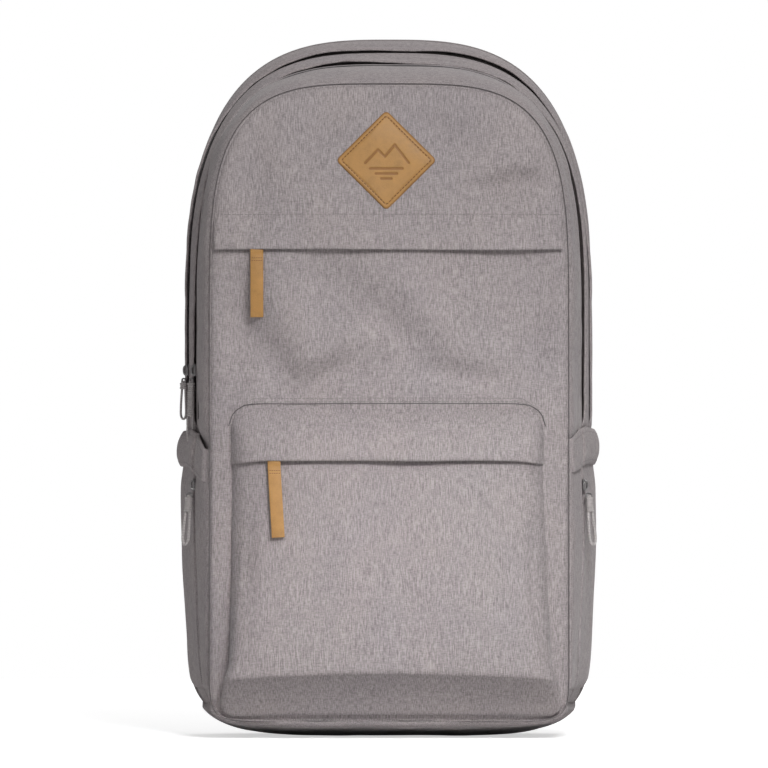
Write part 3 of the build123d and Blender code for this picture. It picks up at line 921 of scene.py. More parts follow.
def make_base():
    """The cloth under the pack, its colour the shell's darkened as painted shade, sewn over the gussets from
    the front seam to the back.
    """
    columns = np.arange(-47, 48)
    edges = [ring[columns % RING] for ring in (front_edge, main_line, rear_line, back_edge)]
    outs = outward(main_line)[columns % RING]
    rows = []
    for number, (a, b, count) in enumerate(zip(edges[:-1], edges[1:], (22, 10, 9))):
        for k in range(count + (number == 2)):
            rows.append(a + (b - a) * k / count)
    grid = np.stack(rows)
    across = np.abs(np.linspace(-1, 1, len(columns)))
    along = np.linspace(0, 1, len(rows))
    side_fade = np.minimum((1 - across) / 0.02, 1)
    end_fade = np.minimum(along / 0.02, (1 - along) / 0.02).clip(0, 1)
    edge_fade = side_fade[None] * end_fade[:, None]
    sag = 0.7 * lattice_noise(grid, (38, 30, 50), 71) + 0.25 * lattice_noise(grid, (14, 14, 50), 72)
    height = -0.9 + 2.9 * np.clip(edge_fade, 0, 1) ** 0.6 + sag
    points = grid + outs[None] * height[..., None]
    base = grid_object("base_cloth_painted_shade", points, M["base"])
    thicken(base, 1.0)
    return piece(base, "shell", ("bottom_panel", "base_patch"))


FRONT_CLEAR = 70.0      # off the front's plane and clear of every piece, where points start before they drop


def on_cloth(target, x, h, rise=0.0):
    """Points on a piece seen from the front at (x, h), raised off it; and the cloth's normals there."""
    x, h = np.broadcast_arrays(np.asarray(x, float), np.asarray(h, float))
    found, normals = drop_on(front_point(x, h, FRONT_CLEAR), target, -FRONT_NORMAL, 100.0)
    shape = x.shape + (3,)
    return found.reshape(shape) + FRONT_NORMAL * np.asarray(rise)[..., None], normals.reshape(shape)


FRONT_GAUGE = (3.0, 2.2, 0.28)

# The upper flap's section as (h, distance off the panel), from its sewn edge down its face and up its back.
UPPER_FLAP = [(371.5, -0.6), (370.3, 0.15), (369.3, 0.75), (367.5, 1.15), (364, 1.9), (358, 3.1), (353, 3.9),
              (350, 4.3), (348.6, 4.35), (347.7, 4.0), (347.4, 3.4), (347.9, 2.9), (350, 2.7), (356, 1.6),
              (363, 0.4), (368, -0.2)]


def make_upper_flap():
    """The flap over the upper zip: a doubled strip whose lower edge stands off in soft waves."""
    x = np.linspace(-124.5, 123.5, 150)
    h, rise = np.array(UPPER_FLAP).T
    x_grid, h_grid = np.meshgrid(x, h)
    hang = ((371.5 - h_grid) / 24.0).clip(0, 1) ** 1.4
    waves = 2.0 * np.exp(-((x + 31) / 22) ** 2) + 2.6 * np.exp(-((x - 82) / 26) ** 2)
    waves += 0.6 * line_noise(x, 26, 81) + 0.3
    waves += 0.9 * np.exp(-((x + 94) / 12) ** 2)
    waves *= 1 - smoothstep(108, 122, np.abs(x))
    droop = 0.9 * line_noise(x, 48, 82)
    base, _ = on_cloth(front_panel, x_grid, h_grid + hang * droop)
    points = base + FRONT_NORMAL * (rise[:, None] + hang * waves[None])[..., None]
    flap = open_strip("upper_flap_cloth", points, M["shell"])
    bent_piece(flap,
               ("upper_flap",), FRONT_DEPTH)

    seam_x = np.linspace(-122, 121, 240)
    line, normals = on_cloth(front_panel, seam_x, np.full(240, 372.6))
    sew("upper_flap_stitches", line, normals, "front_lid", gauge=FRONT_GAUGE)


def flat_zip(name, target, x_low, x_high, h, body):
    """A straight zip across the front: two tapes and a row of teeth, lying on the cloth."""
    half_width = 6.0
    x = np.linspace(x_low, x_high, 90)
    profile = [(-half_width, 0.15), (-half_width, 0.65), (-0.7, 0.8), (-0.4, 0.3), (0.4, 0.3), (0.7, 0.8),
               (half_width, 0.65), (half_width, 0.15), (0, 0.0)]
    rows = [on_cloth(target, x, np.full(90, h + across), rise)[0] for across, rise in profile]
    tape = open_strip(f"{name}_tape", np.stack(rows)[::-1], M["zip_tape"])
    piece(tape, body, (name,))
    path, normals = on_cloth(target, x, np.full(90, h), 0.9)
    at, tangents = resample(path, step=1.35)
    up = normals[np.linspace(0, 89, len(at)).round().astype(int)]
    template, faces = capsule_template(3.6, 0.5, sides=6)
    frames = [(at[k], unit(np.cross(up[k], tangents[k])), -tangents[k], up[k]) for k in range(len(at))]
    teeth = join_copies(f"{name}_teeth", template, faces, frames, M["zip_coil"])
    piece(teeth, body, (name,))


PATCH_MIDDLE = (-2.0, 411.0)
PATCH_HALF = 25.5
PEAKS = [(-15, -2), (-6, 7.5), (-1, 2.5), (6, 11), (16, -2)]
BARS = [[(-11.5, -6), (11.5, -6)], [(-7.5, -9.6), (7.5, -9.6)], [(-3.6, -13.2), (3.6, -13.2)]]


def line_distance(x, z, line):
    """Distance from each point to a line through (x, z) points."""
    points = np.stack([x, z], -1)
    best = np.full(x.shape, 1e9)
    for a, b in zip(line[:-1], line[1:]):
        a, b = np.array(a, float), np.array(b, float)
        t = np.clip(((points - a) @ (b - a)) / ((b - a) @ (b - a)), 0, 1)
        best = np.minimum(best, np.linalg.norm(points - a - t[..., None] * (b - a), axis=-1))
    return best


def rounded_square(half, radius, count):
    """Even points round a square with round corners, from the middle of its lower side."""
    loop = np.vstack([(0, -half), round_corners(-half, half, -half, half, radius, 13)])
    points, _ = resample(np.c_[loop, np.zeros(len(loop))], count=count, closed=True)
    return points


def make_patch():
    """The leather badge: a stitched diamond with a plain pressed pattern of peaks and bars."""
    boundary = rounded_square(PATCH_HALF, 3.2, 480)
    reach, edge = square_ring(boundary, 90, 1.25)
    local = edge * reach[..., None]
    turn = math.radians(45)
    x = local[..., 0] * math.cos(turn) - local[..., 1] * math.sin(turn)
    h = local[..., 0] * math.sin(turn) + local[..., 1] * math.cos(turn)
    inside = (1 - reach) * np.linalg.norm(edge, axis=-1) * 0.85
    mark = np.minimum.reduce([line_distance(x, h, PEAKS)] + [line_distance(x, h, bar) for bar in BARS])
    pressed = 1 - smoothstep(0.55, 1.15, mark)
    thick = 2.1 * (1 - np.exp(-(inside + 0.02) / 0.5))
    groove = np.exp(-((inside - 3.0) / 0.75) ** 2)
    cup = 0.5 * ((x / 36) ** 2 + (h / 36) ** 2)
    rise = thick - 0.42 * pressed - 0.28 * groove - 0.2 - cup * 0.4
    rise += 0.12 * lattice_noise(local, (9, 9, 9), 91)
    base, _ = on_cloth(front_panel, PATCH_MIDDLE[0] + x, PATCH_MIDDLE[1] + h)
    points = base + FRONT_NORMAL * rise[..., None]
    patch = grid_object("leather_badge", points, M["leather"])
    rim = np.exp(-inside / 0.7)
    attribute = patch.data.attributes.new("pressed", "FLOAT", "POINT")
    attribute.data.foreach_set("value", np.clip(pressed * 0.85 + groove * 0.25 + rim * 0.9, 0, 1).ravel())
    piece(patch, "front_lid", ("leather_patch",))

    seam = rounded_square(PATCH_HALF - 3.0, 1.6, 480)
    seam_x = PATCH_MIDDLE[0] + seam[:, 0] * math.cos(turn) - seam[:, 1] * math.sin(turn)
    seam_h = PATCH_MIDDLE[1] + seam[:, 0] * math.sin(turn) + seam[:, 1] * math.cos(turn)
    line, normals = on_cloth(patch, seam_x, seam_h, 0.02)
    sew("leather_badge_stitches", line, normals, "front_lid", "tan_thread", (2.7, 1.9, 0.34),
        closed=True, replaces=("leather_patch",))


# The lower pocket's side profile, (h, d) down to the crisp fold and under it, its half width at heights, and
# the share of that width left at its face.
POCKET_FACE = [(237, 2.0), (235.2, 4.2), (229, 12.5), (220, 20), (212, 24.0), (200, 27.0), (188, 28.6),
               (165, 30.6), (140, 32.6), (115, 34.4), (90, 35.8), (65, 36.9), (52, 37.1), (45, 37.0),
               (42.6, 36.7), (41.6, 35.4)]
POCKET_UNDER = [(41.6, 35.4), (40.2, 32.6), (35, 24.5), (28.6, 15.4), (22.4, 8.8), (18.4, 5.4), (17.0, 3.4)]
POCKET_HALVES = [(16, 110), (17.6, 114.5), (20, 118.4), (24, 120.2), (31, 119.2), (41.5, 116.8), (50, 114.2),
                 (120, 112), (200, 111), (222, 111), (230, 108.5), (234, 105), (237, 99)]
POCKET_SHOULDER = [(12, 1.0), (41, 1.0), (60, 0.965), (120, 0.925), (200, 0.93), (240, 0.97)]


def pocket_grid(profile, columns, grow=0.0):
    """Grid of the lower pocket's cloth from a side profile of (h, d) rows."""
    heights, halves = zip(*POCKET_HALVES)
    shoulder_h, shoulders = zip(*POCKET_SHOULDER)
    angles = np.linspace(-math.pi / 2, math.pi / 2, 400)
    rows = []
    for h, d in profile:
        half = np.interp(h, heights, halves) + grow
        roundness = np.interp(h, (30, 45, 110), (11.0, 9.0, 5.0))
        unit_x = signed_power(np.sin(angles), 2 / roundness)
        unit_d = np.cos(angles).clip(0) ** (2 / roundness)
        shoulder = np.interp(h, shoulder_h, shoulders)
        depth = max(d + grow, 0.3)
        middle = 1.5 * (2 * (237 - h) / 225 - 1)
        x = half * unit_x * (1 - (1 - shoulder) * unit_d)
        line, _ = resample(np.stack([x, depth * unit_d, 0 * x], 1), count=columns)
        x, y = line[:, 0], line[:, 1]
        crown = 1.5 * (1 - (x / half) ** 2) * min(depth / 25, 1)
        rows.append(np.stack([x + middle, np.full(columns, h), y + crown], 1))
    return np.stack(rows)


def even_rows(profile, step):
    """A smooth side profile through (h, d) points at even steps."""
    line, _ = resample(np.c_[smooth_curve(profile, 600), np.zeros(600)], step=step)
    return line[:, :2]


POCKET_FOLDS = [
    # (line of (x, h) points, width, depth along d)
    ([(-97, 178), (-99, 130), (-103, 80)], 4.0, -1.6),
    ([(-91, 168), (-92, 125), (-96, 92)], 5.0, 0.9),
    ([(-108, 120), (-106, 80), (-109, 50)], 3.4, 1.3),
    ([(99, 128), (102, 96), (110, 62)], 3.4, -2.6),
    ([(94, 116), (97, 84), (104, 58)], 4.5, 1.3),
    ([(103, 190), (101, 150), (103, 118)], 4.5, -1.3),
    ([(-60, 62), (-20, 70), (30, 66)], 9.0, -0.7),
    ([(-102, 70), (-90, 58), (-70, 52)], 5.0, 1.0),
    ([(92, 74), (78, 60), (52, 54)], 6.0, 0.9),
    ([(-70, 205), (-20, 188), (40, 196)], 12.0, -0.8),
]


def pocket_cloth(grid):
    """Folds, slack and the arched lower edge, added to a pocket grid of (x, h, d)."""
    x, h, d = grid[..., 0].copy(), grid[..., 1].copy(), grid[..., 2].copy()
    free = smoothstep(2, 14, d)
    slack = 0.9 * lattice_noise(np.stack([x, d, h], -1), (34, 30, 62), 101)
    slack += 0.35 * lattice_noise(np.stack([x, d, h], -1), (13, 14, 22), 102)
    edges = smoothstep(78, 104, np.abs(x))
    slack += edges * 0.8 * lattice_noise(np.stack([x, d, h], -1), (11, 12, 48), 103)
    for line, width, depth in POCKET_FOLDS:
        slack = slack + depth * crease(x, h, line, width)
    slack *= smoothstep(38, 50, h) * 0.85 + 0.15
    d += free * slack
    side = smoothstep(0.6, 0.95, np.abs(x) / 112) * smoothstep(3, 10, d) * (1 - smoothstep(24, 33, d))
    x += np.sign(x) * side * 1.1 * lattice_noise(np.stack([x * 0, d, h], -1), (9, 14, 36), 104)
    h += 4.3 * (1 - (x / 117) ** 2) * np.exp(-((h - 41) / 17) ** 2)
    h += 0.7 * line_noise(x, 26, 105) * np.exp(-((h - 41) / 9) ** 2)
    return front_point(x, h, d)


def make_lower_pocket():
    """The big front pocket: a slack box of cloth with a crisp lower fold and a slanting underside."""
    face = even_rows(POCKET_FACE, 1.7)
    under = even_rows(POCKET_UNDER, 1.8)
    profile = np.vstack([face, under[1:]])
    grid = pocket_grid(profile, 150)
    pocket = grid_object("lower_pocket_cloth", pocket_cloth(grid), M["shell"])
    thicken(pocket, 1.0)
    return piece(pocket, "shell", ("lower_pocket",), FRONT_DEPTH)


# The lower flap's side profile, (h, d) from its sewn edge to the fold at its lower edge.
LOWER_FLAP = [(237.4, 2.6), (237.3, 4.4), (235.6, 7.4), (229, 16.0), (220, 24.2), (210, 29.8), (202, 32.6),
              (198.4, 33.4), (197.0, 33.4), (196.3, 32.8), (196.2, 32.0), (196.9, 31.4)]


def make_lower_flap():
    """The pocket's flap: doubled cloth over the mouth and down both sides, standing off at its lower edge."""
    outer = np.vstack([even_rows(LOWER_FLAP[:8], 1.9), LOWER_FLAP[8:]])
    inner = outer[::-1][4:] - (0.0, 1.5)
    inner = inner[inner[:, 0] > 199]
    rows = []
    for profile, inset in ((outer, 0.0), (inner, -1.4)):
        grid = pocket_grid(profile, 160, grow=inset * 0.6)
        x, h, d = grid[..., 0], grid[..., 1], grid[..., 2]
        widen = 1.5 + inset * 0.7
        x = x + np.sign(x) * widen * smoothstep(60, 105, np.abs(x))
        hang = smoothstep(232, 198, h) * smoothstep(4, 22, d)
        wave = 0.8 * plane_noise(x, h, (36, 30), 111) + 0.4 * plane_noise(x, h, (15, 18), 112)
        wave += 1.1 * np.exp(-((x + 62) / 16) ** 2) + 1.9 * np.exp(-((x - 16) / 18) ** 2)
        d = d + hang * wave
        h = h - 1.6 * smoothstep(88, 112, np.abs(x)) * smoothstep(215, 197, h)
        h = h + 0.8 * hang * line_noise(x, 42, 113)
        rows.append(front_point(x, h, np.maximum(d, 0.8)))
    flap = open_strip("lower_flap_cloth", np.vstack(rows), M["shell"])
    return bent_piece(flap,
                      ("lower_flap",), FRONT_DEPTH)


def make_pocket_stitches_and_shadow():
    """The stitches that hold the pocket's top edge to the front panel, and a dark tube along its seam as
    painted shadow.
    """
    for number, inset in enumerate((1.6, 4.2)):
        half, top, radius = 103 + inset, 237.6 + inset, 12 + inset
        angles = np.linspace(0, math.pi / 2, 10)
        right = [(half - radius + radius * math.cos(a), top - radius + radius * math.sin(a)) for a in angles]
        left = [(-x, z) for x, z in right[::-1]]
        line = np.array([(half, top - radius - 8), *right, *left, (-half, top - radius - 8)])
        path, _ = resample(np.c_[line[:, 0] - 1.0, line[:, 1], 0 * line[:, 0]], step=2.0)
        line, normals = on_cloth(front_panel, path[:, 0], path[:, 1])
        sew(f"pocket_seam_stitches_{number + 1}", line, normals, "shell", gauge=FRONT_GAUGE)

    # A dark tube along the pocket's top seam and down its corners: painted shadow.
    heights = np.linspace(222, 237, 9)
    widths = np.interp(heights, *zip(*POCKET_HALVES)) + 1.6
    corner = np.c_[widths, heights]
    line = np.vstack([corner, (90, 237.9), (-90, 237.9), corner[::-1] * (-1, 1)])
    path, _ = resample(np.c_[line, np.zeros(len(line))], step=2.5)
    line, normals = on_cloth(front_panel, path[:, 0] - 1.4, path[:, 1], 0.25)
    rings = sweep(line, normals, round_section(0.34, 6))
    piece(capped("pocket_seam_painted_shadow", rings, M["seam"]), "lower_flap")


# ---- Small hardware ----
class Parts:
    """Collects rounded blocks and bars, and joins them into one mesh."""

    def __init__(self, origin, x_axis, z_axis):
        z_axis = unit(z_axis)
        x_axis = unit(np.asarray(x_axis, float) - z_axis * np.dot(x_axis, z_axis))
        self.origin = np.asarray(origin, float)
        self.basis = np.stack([x_axis, np.cross(z_axis, x_axis), z_axis])
        self.points, self.faces, self.total = [], [], 0

    def add(self, points, faces):
        points = np.asarray(points, float).reshape(-1, 3)
        self.points.append(points @ self.basis + self.origin)
        self.faces.extend([int(i) + self.total for i in face] for face in faces)
        self.total += len(points)

    def block(self, size, at, power, taper=(1.0, 1.0), steps=(10, 20)):
        """A rounded block; taper scales its width from its low y end to its high one."""
        rows, columns = steps
        phi = np.linspace(-math.pi / 2, math.pi / 2, rows + 1)
        theta = np.arange(columns) * 2 * math.pi / columns + 1e-3
        phi, theta = np.meshgrid(phi, theta, indexing="ij")
        round_x, round_y = signed_power(np.cos(theta), power), signed_power(np.sin(theta), power)
        round_z, level = signed_power(np.sin(phi), power), signed_power(np.cos(phi), power)
        points = np.stack([level * round_x, level * round_y, round_z], -1) * size / 2
        share = points[..., 1] / size[1] + 0.5
        points[..., 0] *= taper[0] + (taper[1] - taper[0]) * share
        self.add(points + at, grid_faces(rows + 1, columns, close_columns=True))

    def bar(self, path, radius, sides, closed=False, flat=1.0, up=(0, 0, 1)):
        """A round or flattened bar along a path in the part's own axes."""
        path = np.asarray(path, float)
        rings = sweep(path, np.tile(up, (len(path), 1)), round_section(radius, sides, flat), closed)
        self.add(rings, tube_faces(len(path), sides, closed))

    def build(self, name, material):
        return build_mesh(name, np.vstack(self.points), self.faces, material)


def loop_path(half_width, length, turn_radius, count):
    """A long loop in the x y plane, hanging down from y = 0, with round ends."""
    angles = 2 * math.pi * np.arange(count) / count
    c, s = np.cos(angles), np.sin(angles)
    straight = (length / 2 - turn_radius) * np.sign(s) * np.minimum(1, np.abs(s) * 2.2)
    return np.stack([half_width * signed_power(c, 0.8), straight + turn_radius * s - length / 2, 0 * c], 1)


def zip_slider(name, at, along, out, body, s):
    """A cast slider at a scale: two plates, two sides and a bridge; along points to the zip's closed end."""
    parts = Parts(at, np.cross(along, out), out)
    parts.block((7.4 * s, 9.6 * s, 1.1 * s), (0, 0, 0.9 * s), 0.35, (0.72, 1.0))
    parts.block((7.0 * s, 9.2 * s, 0.9 * s), (0, 0, -0.3 * s), 0.35, (0.72, 1.0))
    for side in (-1, 1):
        parts.block((0.9 * s, 6.2 * s, 1.6 * s), (side * 3.0 * s, -0.6 * s, 0.4 * s), 0.35)
    bridge = [(0, -3.6 * s, 1.2 * s), (0, -2.8 * s, 2.4 * s), (0, -0.6 * s, 3.0 * s), (0, 2.0 * s, 2.7 * s),
              (0, 3.2 * s, 1.3 * s)]
    parts.bar(smooth_curve(bridge, 14), 0.85 * s, 8, up=(1, 0, 0), flat=0.8)
    return piece(parts.build(name, M["metal"]), body, (body,))


def front_slider(name, target, x, h, rise, scale):
    """The slider of a straight front zip, a rise off the cloth."""
    eye, up = on_cloth(target, np.array([x]), np.array([h]), rise)
    zip_slider(f"{name}_slider_metal", eye[0], -X_AXIS, up[0], f"{name}_slider", scale)


def leather_tab(name, x, h_top, h_tip, target, clearance, lean=0.0):
    """A strip of leather folded through the slider's eye, its two layers hanging together.

    Its node and its pieces share a name.
    """
    width = 9.2
    count = 40
    h = np.linspace(h_top, h_tip, count)
    x_line = x + lean * (h_top - h)
    surface, _ = on_cloth(target, x_line, h)
    d = (surface - front_point(x_line, h, 0.0)) @ FRONT_NORMAL
    d = np.maximum.accumulate(d) if d[-1] > d[0] else d
    d = smooth_curve(np.interp(np.linspace(0, 1, 7), np.linspace(0, 1, count), d)[:, None], count)[:, 0]
    sag = 0.7 * np.sin(np.linspace(0, math.pi, count)) + clearance
    back = np.stack([x_line, h, d + sag + 0.62], 1)
    front = back + (0, 0, 1.28)
    fold = [(1.6, -0.3), (2.9, 0.1), (3.1, 1.1), (2.2, 1.7)]
    top = [(x, h_top + up, back[0, 2] + off) for up, off in fold]
    line = np.vstack([back[::-1], smooth_curve(np.vstack([back[:1], top, front[:1]]), 22)[1:-1], front])
    path = front_point(line[:, 0], line[:, 1], line[:, 2])
    tangents = unit(np.gradient(path, axis=0))
    normals = np.cross(X_AXIS, tangents)
    half, thick = width / 2, 0.58
    section = [(-half + 0.25, -thick), (half - 0.25, -thick), (half, -thick * 0.5), (half, thick * 0.5),
               (half - 0.25, thick), (-half + 0.25, thick), (-half, thick * 0.5), (-half, -thick * 0.5)]
    tab = capped(f"{name}_pull_leather", sweep(path, normals, section), M["leather"])
    bevel = tab.modifiers.new("edge", "BEVEL")
    bevel.width = 0.2 * MM
    bevel.segments = 2
    apply_modifiers(tab)
    pieces = []
    for number, up in enumerate((7.0, 9.0)):
        sew_x = np.linspace(-half + 1.4, half - 1.4, 20)
        line, normals = on_cloth(tab, x + sew_x + lean * up, np.full(20, h_top - up + 4), 0.02)
        pieces.append(stitches(f"{name}_pull_leather_stitches_{number + 1}", line, normals, M["tan_thread"],
                               1.7, 1.2, 0.22))
    for obj in pieces + [tab]:
        bent_piece(obj, (f"{name}_pull",))


make_base()
make_upper_flap()
flat_zip("upper_zip", front_panel, -112, 112, 356, "front_lid")
make_patch()
lower_pocket = make_lower_pocket()
flat_zip("lower_zip", lower_pocket, -104, 101, 205, "shell")
make_lower_flap()
make_pocket_stitches_and_shadow()
front_slider("upper", front_panel, -94.0, 354.5, 0.6, 0.6)
leather_tab("upper", -94.0, 344.5, 299.5, front_panel, 1.6)
front_slider("lower", lower_pocket, -81.0, 203.0, 0.4, 0.55)
leather_tab("lower", -81.5, 192.6, 142.0, lower_pocket, 1.8, lean=0.06)


# ---- Sides: pockets, bands, zips and their pulls ----
def half_at(section, z):
    """A section's half width at a height."""
    low = ((FOOT - z) / (FOOT - section.bottom)).clip(0, 1) ** section.corner_power
    high = ((z - SPRING) / (section.top - SPRING)).clip(0, 1) ** section.arch_power
    return section.half * (1 - low) ** (1 / section.corner_power) * (1 - high) ** (1 / section.arch_power)


def side_x(y, z):
    """Half width of the pack's side at (y, z) before SHIFT."""
    y, z = np.broadcast_arrays(np.asarray(y, float), np.asarray(z, float))
    sections = (FRONT, MAIN_ZIP, REAR_ZIP, BACK)
    places = [y_at(s, z) for s in sections]
    halves = [half_at(s, z) for s in sections]
    result = halves[0]
    for (y_a, half_a), (y_b, half_b) in zip(zip(places[:-1], halves[:-1]), zip(places[1:], halves[1:])):
        share = ((y - y_a) / (y_b - y_a)).clip(0, 1)
        result = np.where(y >= y_a, half_a + (half_b - half_a) * share, result)
    return result


def side_point(side, y, z, rise):
    """Points on one side of the pack, raised off it."""
    y, z, rise = np.broadcast_arrays(np.asarray(y, float), np.asarray(z, float), np.asarray(rise, float))
    return np.stack([side * (side_x(y, z) + rise), y + SHIFT, z], -1)


SIDE_ZIP_Y = -8.0
SIDE_ZIP_Z = (38, 190)
POCKET_Y = (-47.0, 66.0)      # a side pocket's reach along Y, before SHIFT, and up
POCKET_Z = (33.0, 204.0)
SIDES = (("left", -1), ("right", 1))


def pocket_rise(side, y, z):
    """How far a side pocket's cloth stands off the pack's side."""
    y, z = np.broadcast_arrays(np.asarray(y, float), np.asarray(z, float))
    wide, tall = POCKET_Y[1] - POCKET_Y[0], POCKET_Z[1] - POCKET_Z[0]
    across = ((y - POCKET_Y[0]) / wide).clip(0, 1)
    up = ((z - POCKET_Z[0]) / tall).clip(0, 1)
    edge = np.minimum(np.minimum(across, 1 - across) * wide, up * tall)
    rolled = 3.2 * (1 - np.exp(-edge / 1.3))
    body = 4.4 * np.sin(math.pi * across.clip(0.001, 0.999)) ** 0.7 * smoothstep(0.0, 0.75, up)
    body += 1.4 * smoothstep(10, 45, y) * smoothstep(0.1, 0.6, up) * (1 - smoothstep(50, 64, y))
    body *= 1 - 0.55 * smoothstep(0.84, 1.0, up)
    place = np.stack([y * 0 + 400 * side, y, z], -1)
    folds = 1.1 * lattice_noise(place, (40, 17, 52), 121) + 0.45 * lattice_noise(place, (40, 8, 26), 122)
    fade = smoothstep(0, 9, edge)
    from_zip = np.abs(y - SIDE_ZIP_Y)
    valley = smoothstep(2.2, 4.0, from_zip)
    lips = 0.7 * np.exp(-((from_zip - 4.4) / 1.5) ** 2)
    rise = rolled - 2.0 + fade * (body + folds)
    return rise * (0.35 + 0.65 * smoothstep(1.6, 6.0, from_zip)) * (0.2 + 0.8 * valley) + lips * valley * 0.9


def make_side_pocket(name, side):
    """A slack pocket on the pack's side, split by an upright zip."""
    y = np.linspace(*POCKET_Y, 120)
    y = np.sort(np.r_[y, SIDE_ZIP_Y + np.linspace(-5, 5, 21)])
    z = np.linspace(*POCKET_Z, 100)
    z = np.r_[z[0] + np.array([0.0, 0.5, 1.0]), z[1:]]
    y_grid, z_grid = np.meshgrid(y, z)
    points = side_point(side, y_grid, z_grid, pocket_rise(side, y_grid, z_grid))
    cloth = grid_object(f"side_pocket_cloth_{name}", points, M["shell"], flip=side < 0)
    thicken(cloth, 0.9)
    piece(cloth, "shell", (f"side_pocket_{name}",))

    z = np.linspace(*SIDE_ZIP_Z, 80)
    profile = [(-2.6, 0.5), (-2.6, 1.0), (-0.6, 1.1), (0.6, 1.1), (2.6, 1.0), (2.6, 0.5)]
    rows = [side_point(side, SIDE_ZIP_Y + across, z, rise - 0.3) for across, rise in profile]
    tape = open_strip(f"side_zip_tape_{name}", np.stack(rows)[::side], M["zip_tape"])
    piece(tape, "shell", (f"side_zip_{name}",))
    at = side_point(side, SIDE_ZIP_Y, np.arange(*SIDE_ZIP_Z, 1.4), 1.0)
    template, faces = capsule_template(3.4, 0.55, sides=6)
    out = np.array([side, 0.0, 0.0])
    frames = [(p, Y_AXIS, np.cross(out, Y_AXIS), out) for p in at]
    teeth = join_copies(f"side_zip_teeth_{name}", template, faces, frames, M["zip_coil"])
    piece(teeth, "shell", (f"side_zip_{name}",))


# A side band's middle height and width at places along Y before SHIFT, and how far it stands off.
BAND_Y = [-47, -36, -12, 14, 40, 56, 71]
BAND_Z = {"left": [193, 195, 202, 206, 205.5, 205, 205], "right": [200.5, 202, 206, 208, 207, 206.5, 206]}
BAND_WIDTH = {"left": [22.5, 24, 27, 27, 25, 25, 25], "right": [23, 24, 26, 26, 25, 25, 25]}
BAND_STAND = [0.3, 0.6, 1.5, 3.0, 4.6, 3.8, 0.3]


def make_side_band(name, side):
    """The wide strap across the mouth of a side pocket: slack, and bulging out between its sewn ends."""
    y = np.linspace(BAND_Y[0], BAND_Y[-1], 110)
    middle, width, stand = (np.interp(y, BAND_Y, row) for row in (BAND_Z[name], BAND_WIDTH[name], BAND_STAND))
    for _ in range(8):
        for row in (middle, stand):
            row[1:-1] = (row[:-2] + 2 * row[1:-1] + row[2:]) / 4
    rings = []
    across = np.linspace(-1, 1, 19)
    for k in range(len(y)):
        swell = 0.8 * (1 - np.abs(across) ** 2.4) + 0.2 * smoothstep(-1.0, 0.6, across)
        place = np.stack([across * 0 + 300 * side, across * 0 + y[k], middle[k] + across * 14], -1)
        wrinkle = 0.6 * lattice_noise(place, (30, 17, 30), 131) + 0.4 * lattice_noise(place, (30, 8, 9), 132)
        wrinkle *= smoothstep(0, 14, y[k] - y[0]) * smoothstep(0, 14, y[-1] - y[k])
        ends = np.array([[300.0 * side, y[k], 0], [300.0 * side, y[k], 90]])
        edge = 0.8 * lattice_noise(ends, (30, 22, 9), 133)
        z = middle[k] + across * width[k] / 2 + np.where(across > 0, edge[1], edge[0]) * np.abs(across)
        sewn = smoothstep(0, 7, y[k] - y[0]) * smoothstep(0, 9, y[-1] - y[k])
        under = np.maximum(pocket_rise(side, y[k], np.minimum(z, 198.0)), 0.4)
        under = under * (1 - 0.45 * smoothstep(198, 216, z))
        rise = sewn * (under + 0.8 + stand[k] * swell + wrinkle) - 1.6 * (1 - sewn)
        outer = side_point(side, y[k], z, rise + 0.9)
        inner = side_point(side, y[k], z, rise - 0.9)
        high = side_point(side, y[k], z[-1] + 0.55, rise[-1])
        low = side_point(side, y[k], z[0] - 0.55, rise[0])
        rings.append(np.vstack([outer, high[None], inner[::-1], low[None]]))
    rings = np.stack(rings)
    band = capped(f"side_band_cloth_{name}", rings[:, ::side], M["shell"])
    piece(band, "shell", (f"side_band_{name}",))
    for number, k in enumerate((2, 16)):
        line = rings[8:-8, k]
        outs = np.tile([side, 0.0, 0.0], (len(line), 1))
        sew(f"side_band_stitches_{name}_{number + 1}", line, outs, "shell",
            gauge=(3.2, 2.3, 0.26))


def loop_pull(name, at, down, across, body, length, width, cord, sleeve):
    """A zip pull: a loop of cord, a ribbed sleeve that its upper part runs through, and a metal eye."""
    out = unit(np.cross(down, across))
    loop_parts = Parts(at, across, out)
    run = width / 2 - cord / 2
    path = [(run * 0.25, 0.5, 0), (run * 0.55, -3, 0), (run * 0.8, -length * 0.4, 0.2),
            (run, -length * 0.72, 0.3), (run * 0.98, -length * 0.88, 0.3), (run * 0.6, -length * 0.975, 0.3),
            (0, -length, 0.3)]
    mirrored = [(-x, y, z) for x, y, z in path[-2::-1]]
    loop_parts.bar(smooth_curve(path + mirrored, 70), cord / 2, 10)
    piece(loop_parts.build(name, M["cord"]), body, (body,))

    sleeve_parts = Parts(at, across, out)
    ribs = int(sleeve / 1.5)
    for k in range(ribs):
        y = -1.8 - k * 1.5
        grow = 1 + 0.12 * (k == 0 or k == ribs - 1)
        sleeve_parts.block((width * 0.78 * grow, 1.75, cord + 1.3 * grow), (0, y, 0.15), 0.5, steps=(8, 14))
    piece(sleeve_parts.build(f"{name}_sleeve", M["rubber"]), body, (body,))

    eye_parts = Parts(at, across, out)
    eye_parts.bar(loop_path(cord * 1.1, 5.2, 1.6, 24) + (0, 2.0, 0), 0.6, 8, closed=True)
    piece(eye_parts.build(f"{name}_eye", M["metal"]), body, (body,))


def parked(slider, pull, drop):
    """The middle of a slider's node, and the point where its pull hangs, drop below the pull's top."""
    (low, high), (pull_low, pull_high) = node_box(slider), node_box(pull)
    top = np.append((pull_low[:2] + pull_high[:2]) / 2, pull_high[2] - drop)
    return (low + high) / 2, top


